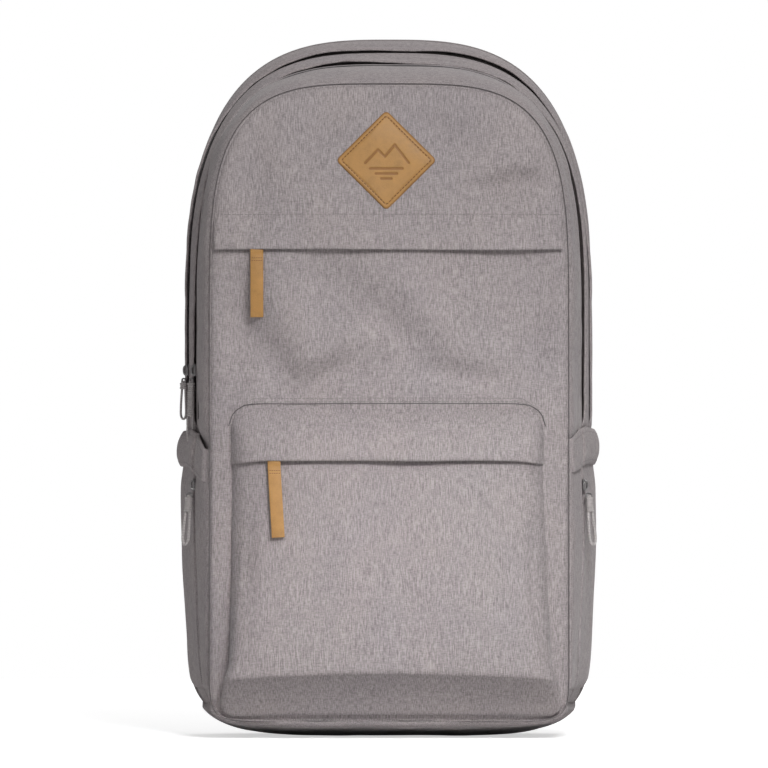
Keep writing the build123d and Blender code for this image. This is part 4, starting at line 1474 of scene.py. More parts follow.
def make_side_pull(name, side):
    """The slider and cord pull of a side pocket's zip."""
    middle, top = parked(f"side_slider_{name}", f"side_pull_{name}", 1.0)
    zip_slider(f"side_slider_metal_{name}", middle - (side * 0.6, 0, 0), (0, 0, 1), (side, 0, 0),
               f"side_slider_{name}", 0.95)
    down = unit([side * 0.18, 0.0, -1.0])
    loop_pull(f"side_pull_cord_{name}", top + (side * 1.2, 0, 0), down, unit([0.75, 0.66 * side, 0.0]),
              f"side_pull_{name}", length=35.0, width=7.6, cord=2.2, sleeve=11.0)


# Length and width of an arched zip's cord loop, the length of its sleeve, and the loop's tilt.
ARCH_PULLS = {"main": (44.0, 7.4, 24.0, 0.03), "rear": (27.0, 7.0, 5.0, 0.0)}


def make_arch_pull(name, section):
    """Slider and cord loop of an arched zip, parked on the left side."""
    middle, top = parked(f"{name}_slider", f"{name}_pull", 0.6)
    lean = (section.y_top - section.y_foot) / HEIGHT
    zip_slider(f"{name}_slider_metal", middle + (0.6, 0, 0), (0, lean, 1), (-1, 0, 0), f"{name}_slider", 1.0)
    length, width, sleeve, tilt = ARCH_PULLS[name]
    loop_pull(f"{name}_pull_cord", top, unit([-tilt, 0.0, -1.0]), unit([0.7, -0.7, 0.0]), f"{name}_pull",
              length, width, 1.7, sleeve)


for side_name, side_sign in SIDES:
    make_side_pocket(side_name, side_sign)
    make_side_band(side_name, side_sign)
    make_side_pull(side_name, side_sign)
make_arch_pull("main", MAIN_ZIP)
make_arch_pull("rear", REAR_ZIP)


# ---- Back: panel, pads, yoke, handle ----
BACK_FACE = 80.2              # the back panel's cloth along Y before SHIFT, where pads and patches lie
PAD_SEWN = 82.0               # a pad's points below this are sewn down
CLEAR_Y = 100.0 + SHIFT       # behind every pad, where points start before they drop onto it


def positions(obj):
    """An object's points (N, 3) in millimetres."""
    flat = np.empty(len(obj.data.vertices) * 3, np.float32)
    obj.data.vertices.foreach_get("co", flat)
    return flat.reshape(-1, 3).astype(float) / MM


def set_positions(obj, points):
    """Moves an object's points to places in millimetres."""
    obj.data.vertices.foreach_set("co", (np.asarray(points) * MM).astype(np.float32).ravel())
    obj.data.update()


def stuff(obj, held, voxel=5.0, cap=7.0):
    """Remeshes a closed pad and swells it as cloth under pressure, by at most cap millimetres.

    held says which points are sewn down.
    """
    stiffness = 12.0
    remesh = obj.modifiers.new("remesh", "REMESH")
    remesh.mode = "VOXEL"
    remesh.voxel_size = voxel * MM
    apply_modifiers(obj)
    before = positions(obj)
    group = obj.vertex_groups.new(name="held")
    group.add([int(i) for i in np.flatnonzero(held(before))], 1.0, "REPLACE")
    cloth = obj.modifiers.new("swell", "CLOTH")
    settings = cloth.settings
    settings.quality = 6
    settings.mass = 0.25
    settings.tension_stiffness = settings.compression_stiffness = stiffness
    settings.shear_stiffness = stiffness / 3
    settings.bending_stiffness = 0.6
    settings.use_pressure = True
    settings.uniform_pressure_force = 4.0
    settings.vertex_group_mass = group.name
    settings.effector_weights.gravity = 0
    for frame_number in range(1, 21):
        bpy.context.scene.frame_set(frame_number)
    apply_modifiers(obj)
    bpy.context.scene.frame_set(1)
    shift = positions(obj) - before
    far = np.linalg.norm(shift, axis=1, keepdims=True)
    set_positions(obj, before + shift * np.minimum(1, cap / np.maximum(far, 1e-6)))
    obj.vertex_groups.clear()
    obj.modifiers.new("round", "SUBSURF").levels = 1
    apply_modifiers(obj)
    obj.data.polygons.foreach_set("use_smooth", [True] * len(obj.data.polygons))
    return obj


def make_back_panel():
    """The bevelled cloth panel behind the pads, and the piping in its seam."""
    flat, from_edge = sheet_grid(outline(BACK, -0.8), section_centre(BACK, 250.0), RING // 8, 1.5, 140.0)
    puff = 0.5 * lattice_noise(flat, (34, 30, 40), 141)
    height = -3.6 + 11.2 * (1 - np.exp(-from_edge / 3.2)) + puff * smoothstep(2, 14, from_edge)
    panel = grid_object("back_panel_cloth", flat + Y_AXIS * height[..., None], M["strap"], flip=True)
    thicken(panel, 1.2)
    piece(panel, "shell", ("back_panel",))

    path = outline(BACK, -0.7) + Y_AXIS * 0.9
    rings = sweep(path, outward(path), round_section(1.4, 8), closed=True)
    piping = capped("back_piping_cord", rings, M["piping"], closed=True)
    piece(piping, "shell", ("back_piping",))
    seam = outline(BACK, -5.0, RING * 2)
    line, normals = drop_on(seam + Y_AXIS * 14, panel, -Y_AXIS)
    sew("back_panel_stitches", line, normals, "shell", "dark_thread", (3.4, 2.5, 0.3), closed=True)


def pad_block(name, box, y_low, y_high, radius, material):
    """A closed block with round corners seen from the back, ready to be stuffed; box is (x, x, z, z)."""
    corners = round_corners(*box, radius, 9)
    centre = corners.mean(0)
    rings = []
    levels = [(y_low, 0.0), (y_low + (y_high - y_low) * 0.55, 0.2), (y_high - 1.5, 2.0), (y_high, 5.0)]
    for y, inset in levels:
        ring = corners + unit(centre - corners) * inset
        rings.append(np.stack([ring[:, 0], np.full(len(ring), y + SHIFT), ring[:, 1]], 1))
    return capped(name, np.stack(rings)[:, ::-1], material)


def channel(across, place, width, depth):
    """The share by which a sewn channel at a place pulls a pad in."""
    return depth * np.exp(-(np.abs(across - place) / width) ** 1.6)


def rounded_outline(box, radius, y):
    """A closed rounded rectangle in the plane of the back."""
    corners = round_corners(*box, radius, 10)
    points = np.stack([corners[:, 0], np.full(len(corners), y + SHIFT), corners[:, 1]], 1)
    line, _ = resample(points, step=3.0, closed=True)
    return line


BINDING = [(-3.2, -0.4), (-3.2, 0.9), (-1.2, 1.5), (1.2, 1.3), (2.6, 0.5), (2.8, -0.4)]


def bound_edge(name, line, body):
    """A folded tape sewn round a pad's edge."""
    rings = sweep(line, np.tile(Y_AXIS, (len(line), 1)), BINDING, closed=True)
    return piece(capped(name, rings, M["webbing"], closed=True), body)


def quilted_pad(stem, side_name, box, face, highest, lean, places, width, depth, along_z, node):
    """A stuffed mesh pad bound at its edge and pulled in along sewn channels.

    The channels run along Z at these places in X, or along X at these places in Z, and drift by lean.
    """
    name = f"{stem}{side_name}" if side_name else f"{stem}_mesh"
    pad = pad_block(name, box, BACK_FACE, face, 15, M["mesh"])
    stuff(pad, lambda p: p[:, 1] - SHIFT < PAD_SEWN)
    points = positions(pad)
    x, y, z = points.T
    off_channel = x - lean(z) if along_z else z - lean(x)
    pull = sum(channel(off_channel, place, width, depth) for place in places).clip(0, depth)
    points[:, 1] = BACK_FACE + (np.clip(y - SHIFT, BACK_FACE, highest) - BACK_FACE) * (1 - pull) + SHIFT
    set_positions(pad, points)
    piece(pad, "shell", (node,))
    bound_edge(f"{stem}_binding{side_name}", rounded_outline(box, 15, BACK_FACE + 0.4), "shell")
    x_low, x_high, z_low, z_high = box
    for number, place in enumerate(places):
        if along_z:
            z = np.linspace(z_low + 6, z_high - 6, 40)
            x = place + lean(z)
        else:
            x = np.linspace(x_low + 4, x_high - 4, 40)
            z = place + lean(x)
        line, found = drop_on(np.stack([x, np.full(40, CLEAR_Y), z], 1), pad, -Y_AXIS)
        sew(f"{stem}_stitches{side_name}_{number + 1}", line, found, "shell", "dark_thread",
            (3.4, 2.5, 0.34))


def make_back_pads():
    """Two tall mesh pads with cross channels, and the lumbar pad with upright ones below them."""
    for name, side in SIDES:
        x_low, x_high = sorted((side * 10.5, side * 100.5))
        quilted_pad("back_pad", f"_{name}", (x_low, x_high, 152, 416), 88.4, 93.5, lambda x: 0.10 * np.abs(x),
                    (203, 260, 317, 374), 5.5, 0.72, False, "back_pads")
    quilted_pad("lumbar_pad", "", (-92.5, 92.5, 34, 137), 89.0, 94.0, lambda z: 0.05 * (z - 85), (-46, 0, 46),
                5.0, 0.7, True, "lumbar_pad")


def webbing(name, path, normals, width, thickness, body, replaces=()):
    """A flat woven strap along a path; it stores how far along and across it each point is, for its weave."""
    path = np.asarray(path, float)
    normals = np.broadcast_to(np.asarray(normals, float), path.shape)
    half, thick = width / 2, thickness / 2
    section = [(-half, -thick * 0.3), (-half + 0.5, -thick), (-half * 0.4, -thick), (half * 0.4, -thick),
               (half - 0.5, -thick), (half, -thick * 0.3), (half, thick * 0.3), (half - 0.5, thick),
               (half * 0.4, thick * 1.1), (-half * 0.4, thick * 1.1), (-half + 0.5, thick),
               (-half, thick * 0.3)]
    strap = capped(name, sweep(path, normals, section), M["webbing_weave"])
    weave = np.zeros((len(path), len(section), 3), np.float32)
    weave[..., 0] = np.array(section)[None, :, 0]
    weave[..., 1] = np.r_[0, np.cumsum(np.linalg.norm(np.diff(path, axis=0), axis=1))][:, None]
    attribute = strap.data.attributes.new("weave", "FLOAT_VECTOR", "POINT")
    attribute.data.foreach_set("vector", weave.ravel())
    return piece(strap, body, replaces)


HANDLE_TILT = math.radians(26)
HANDLE_Y, HANDLE_Z = 86.0, 478.0


def make_haul_handle():
    """A webbing hoop with a rolled cloth grip, hanging from the yoke."""
    down = np.array([0.0, math.sin(HANDLE_TILT), -math.cos(HANDLE_TILT)])
    out = np.array([0.0, math.cos(HANDLE_TILT), math.sin(HANDLE_TILT)])
    origin = np.array([0.0, HANDLE_Y + SHIFT, HANDLE_Z])
    turn = np.linspace(0.0, math.pi / 2, 8)
    corner = [(-45.5 + 13 * (1 - math.cos(a)), 28 + 12.5 * math.sin(a)) for a in turn]
    flat = [(-45.5, 0.8), (-45.5, 10), (-45.5, 20), *corner, (-15, 41.5), (0, 42)]
    flat += [(-x, y) for x, y in flat[-2::-1]]
    line = smooth_curve(np.array(flat, float), 110)
    path = origin + line[:, :1] * X_AXIS + line[:, 1:2] * down
    webbing("haul_handle_webbing", path + out * 1.2, out, 11.5, 2.0, "haul_handle", ("haul_handle",))
    x = np.linspace(-31, 31, 60)
    grip = origin + x[:, None] * X_AXIS + down * 41.0 + out * 1.4
    rings = []
    for k, centre in enumerate(grip):
        end = 1 - 0.25 * (abs(x[k]) / 31) ** 10
        pucker = 0.25 * math.sin(x[k] * 1.9) + 0.2 * math.sin(x[k] * 0.7 + 1)
        angle = np.arange(14) * 2 * math.pi / 14
        rings.append(centre + np.cos(angle)[:, None] * down * (4.3 * end + pucker * 0.3)
                     + np.sin(angle)[:, None] * out * (3.1 * end + pucker * 0.3))
    roll = capped("haul_handle_grip", np.stack(rings)[:, ::-1], M["strap"])
    piece(roll, "haul_handle", ("haul_handle",))
    line = (grip + out * 3.2)[3:-3]
    sew("haul_handle_stitches", line, np.tile(out, (len(line), 1)), "haul_handle", "thread_light",
        FRONT_GAUGE)


def make_yoke():
    """The sewn-on cloth panel over the strap roots, rounded at its corners and rolled at its edges."""
    radius = 9
    x, z = np.meshgrid(np.linspace(-88, 88, 90), np.linspace(424, 477, 40))
    from_x = 88 - np.abs(x)
    from_z = np.minimum(z - 424, 477 - z)
    edge = np.minimum(from_x, from_z)
    near = (from_x < radius) & (from_z < radius)
    edge = np.where(near, radius - np.hypot(radius - from_x, radius - from_z), edge)
    rise = 2.8 * (1 - np.exp(-np.clip(edge, 0, 99) / 1.3)) - 0.8 * (edge < 0)
    rise = rise + 0.5 * smoothstep(3, 12, edge) * plane_noise(x, z, (22, 16), 191)
    points = np.stack([x, BACK_FACE + rise + SHIFT, z], -1)
    yoke = grid_object("yoke_cloth", points, M["strap"], flip=True)
    thicken(yoke, 1.2)
    return piece(yoke, "shell", ("yoke",))


def loft_pad(name, centres, acrosses, normals, widths, thicknesses, material):
    """A closed pad with rounded sections along a line of centres."""
    power, columns = 0.55, 28
    angles = np.arange(columns) * 2 * math.pi / columns
    c, s = np.cos(angles), np.sin(angles)
    across, up = signed_power(c, power), signed_power(s, power)
    rings = []
    for centre, a, n, width, thick in zip(centres, acrosses, normals, widths, thicknesses):
        rings.append(centre + across[:, None] * a * width / 2 + up[:, None] * n * thick / 2)
    return capped(name, np.stack(rings), material)


# A shoulder strap from the side, as (y, z) of its inner face, and from behind, as (x, z).
STRAP_BOW = [(93, 424), (107, 370), (112, 300), (108, 230), (99, 166)]
STRAP_LINE = [(57, 424), (61, 370), (64, 300), (76, 230), (99, 166)]
STRAP_WIDTHS = [50, 58, 60, 54, 40]
STRAP_THICKNESS = 11.0
STRAP_FREE = (170, 420)       # outside these heights a strap's pad is sewn down
STRAP_CLEAR = 14.0            # off a strap's middle, where points start before they drop onto its pad
STRAP_BINDING = np.array([(-2.4, -2.4), (0.6, -2.6), (2.2, -1.4), (2.6, 0), (2.2, 1.4), (0.6, 2.6),
                          (-2.4, 2.4)])
LOCK_MIDDLE = (102.0, 103.5, 148.0)
WEB_FOOT = (118.0, 87.5, 54.0)


def strap_frame(side, count):
    """Centres, across vectors, outward normals and widths along a shoulder strap."""
    bow = smooth_curve(np.array(STRAP_BOW, float), count)
    line = smooth_curve(np.array(STRAP_LINE, float), count)
    widths = smooth_curve(np.array(STRAP_WIDTHS, float)[:, None], count)[:, 0]
    centres = np.stack([side * line[:, 0], bow[:, 0] + SHIFT + STRAP_THICKNESS / 2, bow[:, 1]], 1)
    tangents = unit(np.gradient(centres, axis=0))
    across = unit(np.cross(tangents, Y_AXIS))
    normals = unit(np.cross(across, tangents))
    normals = np.where(normals[:, 1:2] < 0, -normals, normals)
    return centres, across, normals, widths


def make_shoulder_strap(name, side):
    """A stuffed strap with bound and stitched edges, and the webbing on it."""
    body = f"strap_{name}"
    centres, across, normals, widths = strap_frame(side, 60)
    thick = np.full(60, STRAP_THICKNESS - 3.4)
    pad = loft_pad(f"shoulder_strap_pad_{name}", centres, across, normals, widths - 5, thick, M["strap"])

    def strap_place(points):
        """The nearest station of the strap for each point, and the point's place across and off it."""
        nearest = np.argmin(np.abs(points[:, None, 2] - centres[None, :, 2]), 1)
        away = points - centres[nearest]
        return nearest, (away * across[nearest]).sum(1), (away * normals[nearest]).sum(1)

    def sewn_down(points):
        nearest, aside, _ = strap_place(points)
        z = points[:, 2]
        return (np.abs(aside) > widths[nearest] / 2 - 5.5) | (z < STRAP_FREE[0]) | (z > STRAP_FREE[1])

    stuff(pad, sewn_down, voxel=4.5, cap=4.0)
    points = positions(pad)
    nearest, aside, height = strap_place(points)
    pinch = 0.55 * np.exp(-((np.abs(aside) - (widths[nearest] / 2 - 10)) / 2.2) ** 2)
    points -= normals[nearest] * (height * pinch)[:, None]
    set_positions(pad, points)
    piece(pad, body, (f"shoulder_strap_{name}",))

    for edge_name, sign in (("inner", -1), ("outer", 1)):
        line = centres + across * (sign * (widths / 2 - 2.6))[:, None]
        binding_out, binding_up = STRAP_BINDING.T[:, None, :, None]
        rings = line[:, None] + across[:, None] * sign * binding_out + normals[:, None] * binding_up
        tape = capped(f"strap_binding_{name}_{edge_name}", rings, M["webbing"])
        piece(tape, body, (f"shoulder_strap_{name}",))
        seam = (centres + across * (sign * (widths / 2 - 10))[:, None])[1:-1]
        for face, lift in (("outside", 1), ("inside", -1)):
            off = normals[1:-1] * lift
            line, found = drop_each(seam + off * STRAP_CLEAR, pad, -off)
            sew(f"strap_stitches_{name}_{edge_name}_{face}", line, found, body, "dark_thread")

    make_keeper(name, body, pad, centres, normals)
    make_lower_webbing(name, side, body)


def drop_each(points, obj, directions):
    """Moves each point along its own direction onto an object's surface; returns points and ways back out."""
    tree = BVHTree.FromObject(obj, bpy.context.evaluated_depsgraph_get())
    found = []
    for point, direction in zip(points, directions):
        hit = tree.ray_cast(Vector(point * MM), Vector(direction), 60 * MM)[0]
        if hit is None:
            hit = tree.find_nearest(Vector(point * MM))[0]
        found.append(np.array(hit) / MM)
    return np.array(found), -directions


def make_keeper(name, body, pad, centres, normals):
    """Webbing sewn down the strap's middle, with a loop across it that holds the chest strap."""
    chosen = slice(6, 54)
    line, _ = drop_each(centres[chosen] + normals[chosen] * STRAP_CLEAR, pad, -normals[chosen])
    line = smooth_curve(line[::4], 60)
    tangents = unit(np.gradient(line, axis=0))
    ups = unit(np.cross(tangents, np.cross(Y_AXIS, tangents)))
    ups = np.where(ups[:, 1:2] < 0, -ups, ups)
    webbing(f"strap_daisy_{name}", line + ups * 1.3, ups, 15.0, 1.4, body)
    for number, k in enumerate((4, 16, 28, 40, 52)):
        over = np.linspace(-6.2, 6.2, 40)[:, None] * unit(np.cross(tangents[k], ups[k]))
        bar = line[k] + ups[k] * 2.05 + over
        sew(f"strap_bartack_{name}_{number + 1}", bar, np.tile(ups[k], (40, 1)), body,
            "thread_light", (0.9, 1.5, 0.36))
    low, high = node_box(f"chest_keeper_{name}")
    y = (low[1] + high[1]) / 2
    x = np.linspace(low[0] + 1, high[0] - 1, 70)
    wrap = 4.5 * smoothstep(0.86, 1.0, (np.abs(x) - 14) / 74.0)
    path = np.stack([x, y - wrap + 0.25 * np.sin(x * 0.22), np.full(70, (low[2] + high[2]) / 2)], 1)
    webbing(f"chest_keeper_webbing_{name}", path, Y_AXIS, 19.0, 1.5, body, (f"chest_keeper_{name}",))


def make_lower_webbing(name, side, body):
    """The ladder lock at the strap's end, the webbing to the pack's corner and its loose tail."""
    top = np.array([side * LOCK_MIDDLE[0], LOCK_MIDDLE[1] + SHIFT, LOCK_MIDDLE[2]])
    foot = np.array([side * WEB_FOOT[0], WEB_FOOT[1] + SHIFT, WEB_FOOT[2]])
    along = unit(foot - top)
    across = unit(np.cross(Y_AXIS, along))
    out = unit(np.cross(across, along))
    out = out if out[1] > 0 else -out
    reach = np.linalg.norm(foot - top)

    def path(stations):
        line = smooth_curve(np.array(stations, float), 60)
        return top + line[:, :1] * along + line[:, 1:2] * out

    web = [(-4, -0.4), (1, 1.6), (6, 0.2), (14, 0), (reach * 0.5, -0.9), (reach - 14, 0), (reach, 0)]
    tail = [(-5, 2.6), (1, 4.0), (10, 5.8), (30, 6.6), (60, 6.0), (82, 6.5), (91, 6.3)]
    hem = [(84, 7.6), (90, 7.5), (93.5, 6.4), (90, 5.3), (84, 5.2)]
    loop = [(-22, 0.8), (-14, 1.6), (-10.5, 1.9), (-9.2, 0), (-10.5, -1.9), (-14, -1.6), (-22, -1.0)]
    for stem, stations, width, thickness, node in (
            ("lower_webbing_strap", web, 24.0, 1.5, "lower_webbing"),
            ("lower_webbing_tail", tail, 23.0, 1.5, "lower_webbing"),
            ("lower_webbing_hem", hem, 23.4, 1.3, "lower_webbing"),
            ("ladder_lock_loop", loop, 25.0, 1.3, "shoulder_strap")):
        webbing(f"{stem}_{name}", path(stations), out, width, thickness, body, (f"{node}_{name}",))

    lock = Parts(top, across, out)
    sign = 1 if np.dot(lock.basis[1], along) > 0 else -1
    for rail in (-1, 1):
        lock.block((3.8, 27.5, 4.6), (rail * 15.2, 0, 0), 0.4)
    for y, height, lift in ((-11.6, 4.2, 4.2), (-4.0, 3.4, 3.6), (4.2, 4.4, 4.0), (12.0, 3.8, 4.4)):
        lock.block((30, height, lift), (0, sign * y, 0), 0.45)
    lock.block((22, 6.5, 2.4), (0, sign * 14.5, 1.4), 0.5)
    moulding = lock.build(f"ladder_lock_frame_{name}", M["plastic"])
    piece(moulding, body, (f"ladder_lock_{name}",))


def make_wing(name, side):
    """The cloth tab that anchors the lower webbing at the pack's corner, sewn with a crossed box."""
    x = np.linspace(98, 133, 40)
    z = np.linspace(34, 74, 44)
    x, z = np.meshgrid(x, z)
    inner = smoothstep(98, 104, x) * smoothstep(133, 128, x)
    ends = smoothstep(34, 38, z) * smoothstep(74, 66, z)
    hump = np.exp(-((x - 118) / 17) ** 4) * np.exp(-((z - 50) / 13) ** 4)
    folds = 0.4 * plane_noise(x, z, (9, 18), 151)
    rise = 78.6 + 3.6 * inner * ends + 7.0 * hump * inner * ends + folds * inner * ends
    grid = np.stack([side * x, rise + SHIFT, z], -1)
    wing = grid_object(f"strap_wing_{name}", grid, M["strap"], flip=side > 0)
    thicken(wing, 1.4)
    piece(wing, "shell", ("strap_wings",))
    corners = [(side * x, CLEAR_Y, z) for x, z in ((107, 40), (129, 40), (129, 52), (107, 52))]
    (a, b, c, d), _ = drop_on(np.array(corners), wing, -Y_AXIS)
    line, _ = resample([a, b, c, d, a, c, d, b], step=0.8)
    sew(f"strap_wing_stitches_{name}", line, np.tile(Y_AXIS, (len(line), 1)), "shell",
        "thread_light", (2.2, 1.7, 0.26))


# A strap root's stations down from the yoke: y before SHIFT, z, width and thickness.
STRAP_ROOT = [(80.5, 470, 40, 5.0), (84.5, 458, 46, 8.0), (89.5, 446, 50, 11.0), (94.5, 435, 50, 12.5),
              (98.2, 425, 50, 12.0)]


def make_strap_root(name, side):
    """The padded top of a strap, sewn under the yoke."""
    line = smooth_curve(STRAP_ROOT, 20)
    centres = np.stack([np.full(20, side * 57.0), line[:, 0] + SHIFT - 0.6, line[:, 1]], 1)
    tangents = unit(np.gradient(centres, axis=0))
    across = np.tile(X_AXIS, (20, 1))
    normals = unit(np.cross(across, tangents))
    root = loft_pad(f"strap_root_{name}", centres, across, normals, line[:, 2], line[:, 3], M["strap"])
    root.modifiers.new("round", "SUBSURF").levels = 1
    apply_modifiers(root)
    piece(root, "shell", ("strap_roots",))


def make_chest(name, side):
    """Half of the chest strap with its half of the side-release buckle."""
    body = f"chest_{name}"
    low, high = node_box(f"chest_web_{name}")
    x, y = (low[0] + high[0]) / 2, (low[1] + high[1]) / 2
    z = np.linspace(high[2] + 1.0, low[2] - 2, 60)
    path = np.stack([np.full(60, x), y + 0.25 * np.sin((z - low[2]) * 0.16), z], 1)
    webbing(f"chest_webbing_{name}", path, Y_AXIS, 15.4, 1.5, body, (f"chest_web_{name}",))
    ripple = 0.3 * np.sin(np.linspace(0, 3, 24))
    over = np.stack([np.full(24, x), y + 1.6 + ripple, np.linspace(302, 288, 24)], 1)
    webbing(f"chest_webbing_fold_{name}", over, Y_AXIS, 15.4, 1.3, body, (f"chest_web_{name}",))

    node = "chest_buckle_male" if side < 0 else "chest_buckle_female"
    low, high = node_box(node)
    middle_y, top = (low[1] + high[1]) / 2, high[2]
    buckle = Parts((x, middle_y, top), X_AXIS, Y_AXIS)
    down = -1 if buckle.basis[1][2] > 0 else 1
    buckle.block((20, 3.6, 5.4), (0, down * 2.0, 0), 0.35)
    if side < 0:
        buckle.block((20, 3.4, 5.6), (0, down * 12.0, 0), 0.35)
        for rail in (-1, 1):
            buckle.block((3.0, 14.0, 5.4), (rail * 8.6, down * 7.0, 0), 0.35)
            prong = [(rail * 6.6, down * 13, 0), (rail * 7.4, down * 19, 0), (rail * 8.0, down * 24, 0),
                     (rail * 6.2, down * 29.2, 0)]
            buckle.bar(smooth_curve(prong, 16), 1.6, 8)
        buckle.block((3.2, 17, 2.6), (0, down * 20.5, 0), 0.4)
    else:
        for rail in (-1, 1):
            buckle.block((3.0, 12.0, 5.4), (rail * 8.6, down * 7.0, 0), 0.35)
            buckle.block((2.6, 21.0, 7.4), (rail * 8.9, down * 23.0, 0), 0.3)
        for face in (-1, 1):
            buckle.block((20.0, 22.5, 1.5), (0, down * 22.8, face * 3.25), 0.3)
        buckle.block((20, 3.8, 7.4), (0, down * 12.6, 0), 0.35)
        buckle.block((9.0, 5.0, 0.8), (0, down * 24.5, 4.1), 0.5)
    piece(buckle.build(f"{node}_moulding", M["plastic"]), body, (node,))


# ---- Inside: linings, divider and pocket ----
def lining_profile(low, high, rows, height):
    """A closed loop of (distance, height) for a thin lining under a gusset."""
    distances = np.linspace(low, high, rows + 1)
    return [(d, height) for d in distances] + [(d, height - 1.0) for d in distances[::-1]]


def make_linings():
    """The linings of the front, the gussets and the tub."""
    profile = lining_profile(2.0, 59.0, 14, -2.2)
    points = gusset_rings(front_edge, main_line, profile, FRONT_GUSSET, 0.6, 161)
    lid_piece(closed_strip("front_gusset_lining", points, M["lining"]))
    profile = lining_profile(1.5, 52.5, 8, -3.0)
    points = gusset_rings(main_line, back_edge, profile, MIDDLE_GUSSET + REAR_GUSSET, 0.5, 163)
    piece(closed_strip("body_lining", points, M["lining"]), "shell")

    flat, from_edge = sheet_grid(outline(FRONT, -3.0), FRONT_MIDDLE, 40, 1.0, FRONT_FAR)
    inner = np.minimum(front_height(flat, from_edge) - 6.0, -2.4)
    points = flat + FRONT_NORMAL * inner[..., None]
    front = grid_object("front_panel_lining", points, M["lining"], flip=True)
    thicken(front, 0.8)
    lid_piece(front)

    line = outline(MAIN_ZIP, -2.8) - Y_AXIS * 8.0
    keep = line[:, 2] > ZIP_END_Z
    path = ring_part(line[None], keep)[0]
    section = [(-2.4, -0.5), (-2.4, 0.5), (2.4, 0.5), (2.4, -0.5)]
    rings = sweep(path, np.tile(-Y_AXIS, (len(path), 1)), section)
    lid_piece(capped("front_seam_binding", rings, M["webbing"]))


def make_divider():
    """A quilted sleeve against the back, with a soft bound top edge."""
    flat, from_edge = sheet_grid(outline(DIVIDER), section_centre(DIVIDER, 250.0), 56, 1.3, 120.0)
    x, z = flat[..., 0], flat[..., 2]
    cell = 38.0
    quilt = np.minimum(np.abs((x + z) / cell - np.round((x + z) / cell)),
                       np.abs((x - z) / cell - np.round((x - z) / cell)))
    height = 2.6 * (1 - np.exp(-quilt * cell / 3.0)) * smoothstep(2, 10, from_edge) - 0.3
    points = flat - Y_AXIS * height[..., None]
    divider = grid_object("divider_quilt", points, M["lining"])
    thicken(divider, 2.4)
    piece(divider, "shell", ("divider",))
    x = np.linspace(-118, 118, 120)
    sag = 3.0 * (x / 118) ** 2
    path = np.stack([x, np.full(120, 34.0 + SHIFT), 372 + sag], 1)
    webbing("divider_sleeve_binding", path, -Y_AXIS, 14.0, 1.6, "shell")
    x, z = np.meshgrid(np.linspace(-119, 119, 90), np.linspace(60, 376, 70))
    slack = 1.2 * plane_noise(x, z, (46, 60), 171)
    y = 35.2 - slack * smoothstep(119, 100, np.abs(x)) + 3.4 * smoothstep(108, 119, np.abs(x))
    sleeve = grid_object("divider_sleeve", np.stack([x, y + SHIFT, z], -1), M["lining"])
    thicken(sleeve, 0.8)
    piece(sleeve, "shell")


def make_upper_pocket_lining():
    """The upper pocket's bag, sewn inside the front."""
    x, h = np.meshgrid(np.linspace(-109, 109, 80), np.linspace(257, 353, 44))
    edge = np.minimum(np.minimum(x + 109, 109 - x), np.minimum(h - 257, 353 - h))
    bag = 2.4 * (1 - np.exp(-edge / 9)) + 0.9 * plane_noise(x, h, (30, 26), 181)
    points = front_point(x, h, -4.0 - bag * smoothstep(-1, 6, edge))
    lining = grid_object("upper_pocket_bag", points, M["lining"], flip=True)
    thicken(lining, 0.7)
    piece(lining, "front_lid", ("upper_pocket_lining",))


make_back_panel()
make_back_pads()
make_yoke()
make_haul_handle()
for side_name, side_sign in SIDES:
    make_strap_root(side_name, side_sign)
    make_shoulder_strap(side_name, side_sign)
    make_wing(side_name, side_sign)
    make_chest(side_name, side_sign)
make_linings()
make_divider()
make_upper_pocket_lining()


# ---- Studio ----
VIEW_DISTANCE = 8.0       # metres from the pack's middle to the camera
VIEW_X, VIEW_HEIGHT = -0.0036, 0.252
SENSOR = 36.0             # millimetres
VIEW_WIDTH = 0.551        # metres across the picture at the pack
FLOOR_HALF = 1.5          # metres


def floor_paper():
    """The floor's pale matt paper, with a little light of its own so that it stays near white far away."""
    n = Nodes("pale_paper", roughness=0.95, specular=0.1)
    n.colour(n.ramp(n.noise((60, 60, 60), detail=2), [(0.3, (0.86, 0.86, 0.86)), (0.7, (0.88, 0.88, 0.88))]))
    n.shader.inputs["Emission Color"].default_value = (1.0, 1.0, 1.0, 1.0)
    path = n.add("ShaderNodeLightPath")
    n.link(n.math("MULTIPLY", path.outputs["Is Camera Ray"], 0.55), n.shader.inputs["Emission Strength"])
    return n.material


def area_light(name, place, target, size, power, spread):
    """A soft square light that points at a target; spread is its beam in degrees."""
    light = bpy.data.lights.new(name, "AREA")
    light.size = size
    light.energy = power
    light.spread = math.radians(spread)
    obj = bpy.data.objects.new(name, light)
    bpy.context.scene.collection.objects.link(obj)
    obj.location = place
    obj.rotation_euler = (Vector(target) - Vector(place)).to_track_quat("-Z", "Y").to_euler()


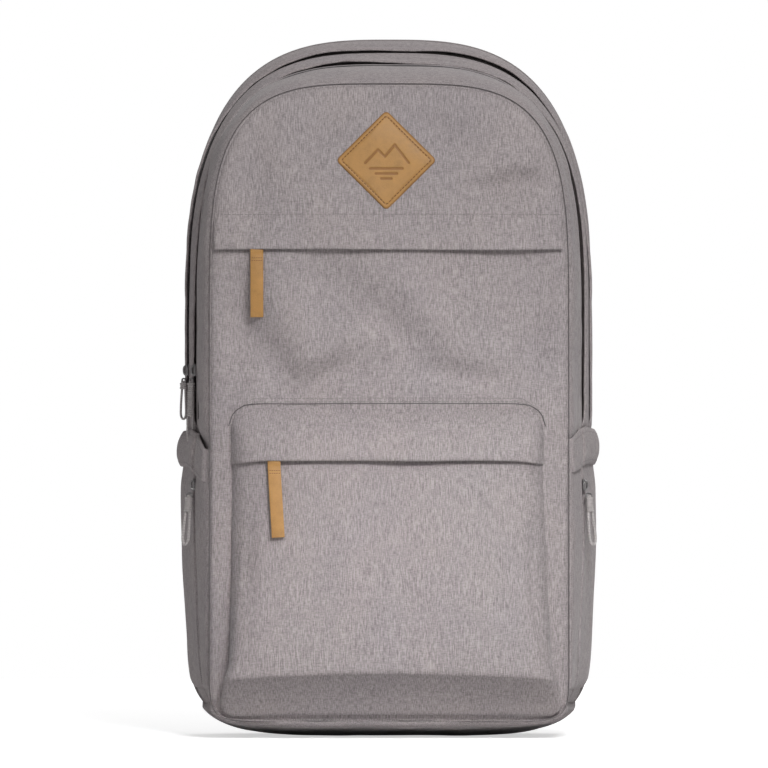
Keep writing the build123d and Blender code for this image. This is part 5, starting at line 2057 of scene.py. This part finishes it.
def make_world():
    """A dim white surround for light, and plain white behind everything."""
    world = bpy.data.worlds.new("studio")
    bpy.context.scene.world = world
    world.use_nodes = True
    tree = world.node_tree
    surround = tree.nodes["Background"]
    surround.inputs["Color"].default_value = (1.0, 1.0, 1.0, 1.0)
    surround.inputs["Strength"].default_value = SURROUND
    backdrop = tree.nodes.new("ShaderNodeBackground")
    backdrop.inputs["Color"].default_value = (1.0, 1.0, 1.0, 1.0)
    backdrop.inputs["Strength"].default_value = 1.0
    path = tree.nodes.new("ShaderNodeLightPath")
    mix = tree.nodes.new("ShaderNodeMixShader")
    tree.links.new(path.outputs["Is Camera Ray"], mix.inputs["Fac"])
    tree.links.new(surround.outputs["Background"], mix.inputs[1])
    tree.links.new(backdrop.outputs["Background"], mix.inputs[2])
    tree.links.new(mix.outputs["Shader"], tree.nodes["World Output"].inputs["Surface"])


SURROUND = 0.2            # strength of the light from all around
LIGHTS = [
    # name, place, target, size, power, beam in degrees
    ("key", (0.74, -2.64, 1.95), (0.0, 0.0, 0.25), 1.0, 61, 180),
    ("pocket", (0.35, -2.1, 1.3), (0.015, -0.1, 0.12), 0.12, 0.105, 13),
    ("left", (-2.3, -1.3, 1.0), (0.0, 0.0, 0.25), 1.2, 3.4, 180),
    ("top", (0.4, 0.4, 2.6), (0.0, 0.0, 0.3), 1.5, 6, 180),
    ("rear", (0.5, 2.6, 1.9), (0.0, 0.0, 0.25), 1.4, 30, 180),
]


def make_studio():
    """A pale floor, soft lights and the camera."""
    corners = np.linspace(-FLOOR_HALF, FLOOR_HALF, 9) / MM
    x, y = np.meshgrid(corners, corners)
    floor = grid_object("floor", np.stack([x, y, x * 0], -1), floor_paper())
    mark_rest(floor)
    make_world()
    for light in LIGHTS:
        area_light(*light)

    camera = bpy.data.objects.new("camera", bpy.data.cameras.new("camera"))
    bpy.context.scene.collection.objects.link(camera)
    camera.location = (VIEW_X, -VIEW_DISTANCE, VIEW_HEIGHT)
    camera.rotation_euler = (math.pi / 2, 0, 0)
    camera.data.sensor_width = SENSOR
    camera.data.lens = SENSOR * VIEW_DISTANCE / VIEW_WIDTH
    bpy.context.scene.camera = camera


make_studio()
bpy.context.scene.view_settings.view_transform = "Standard"

bpy.context.view_layer.update()
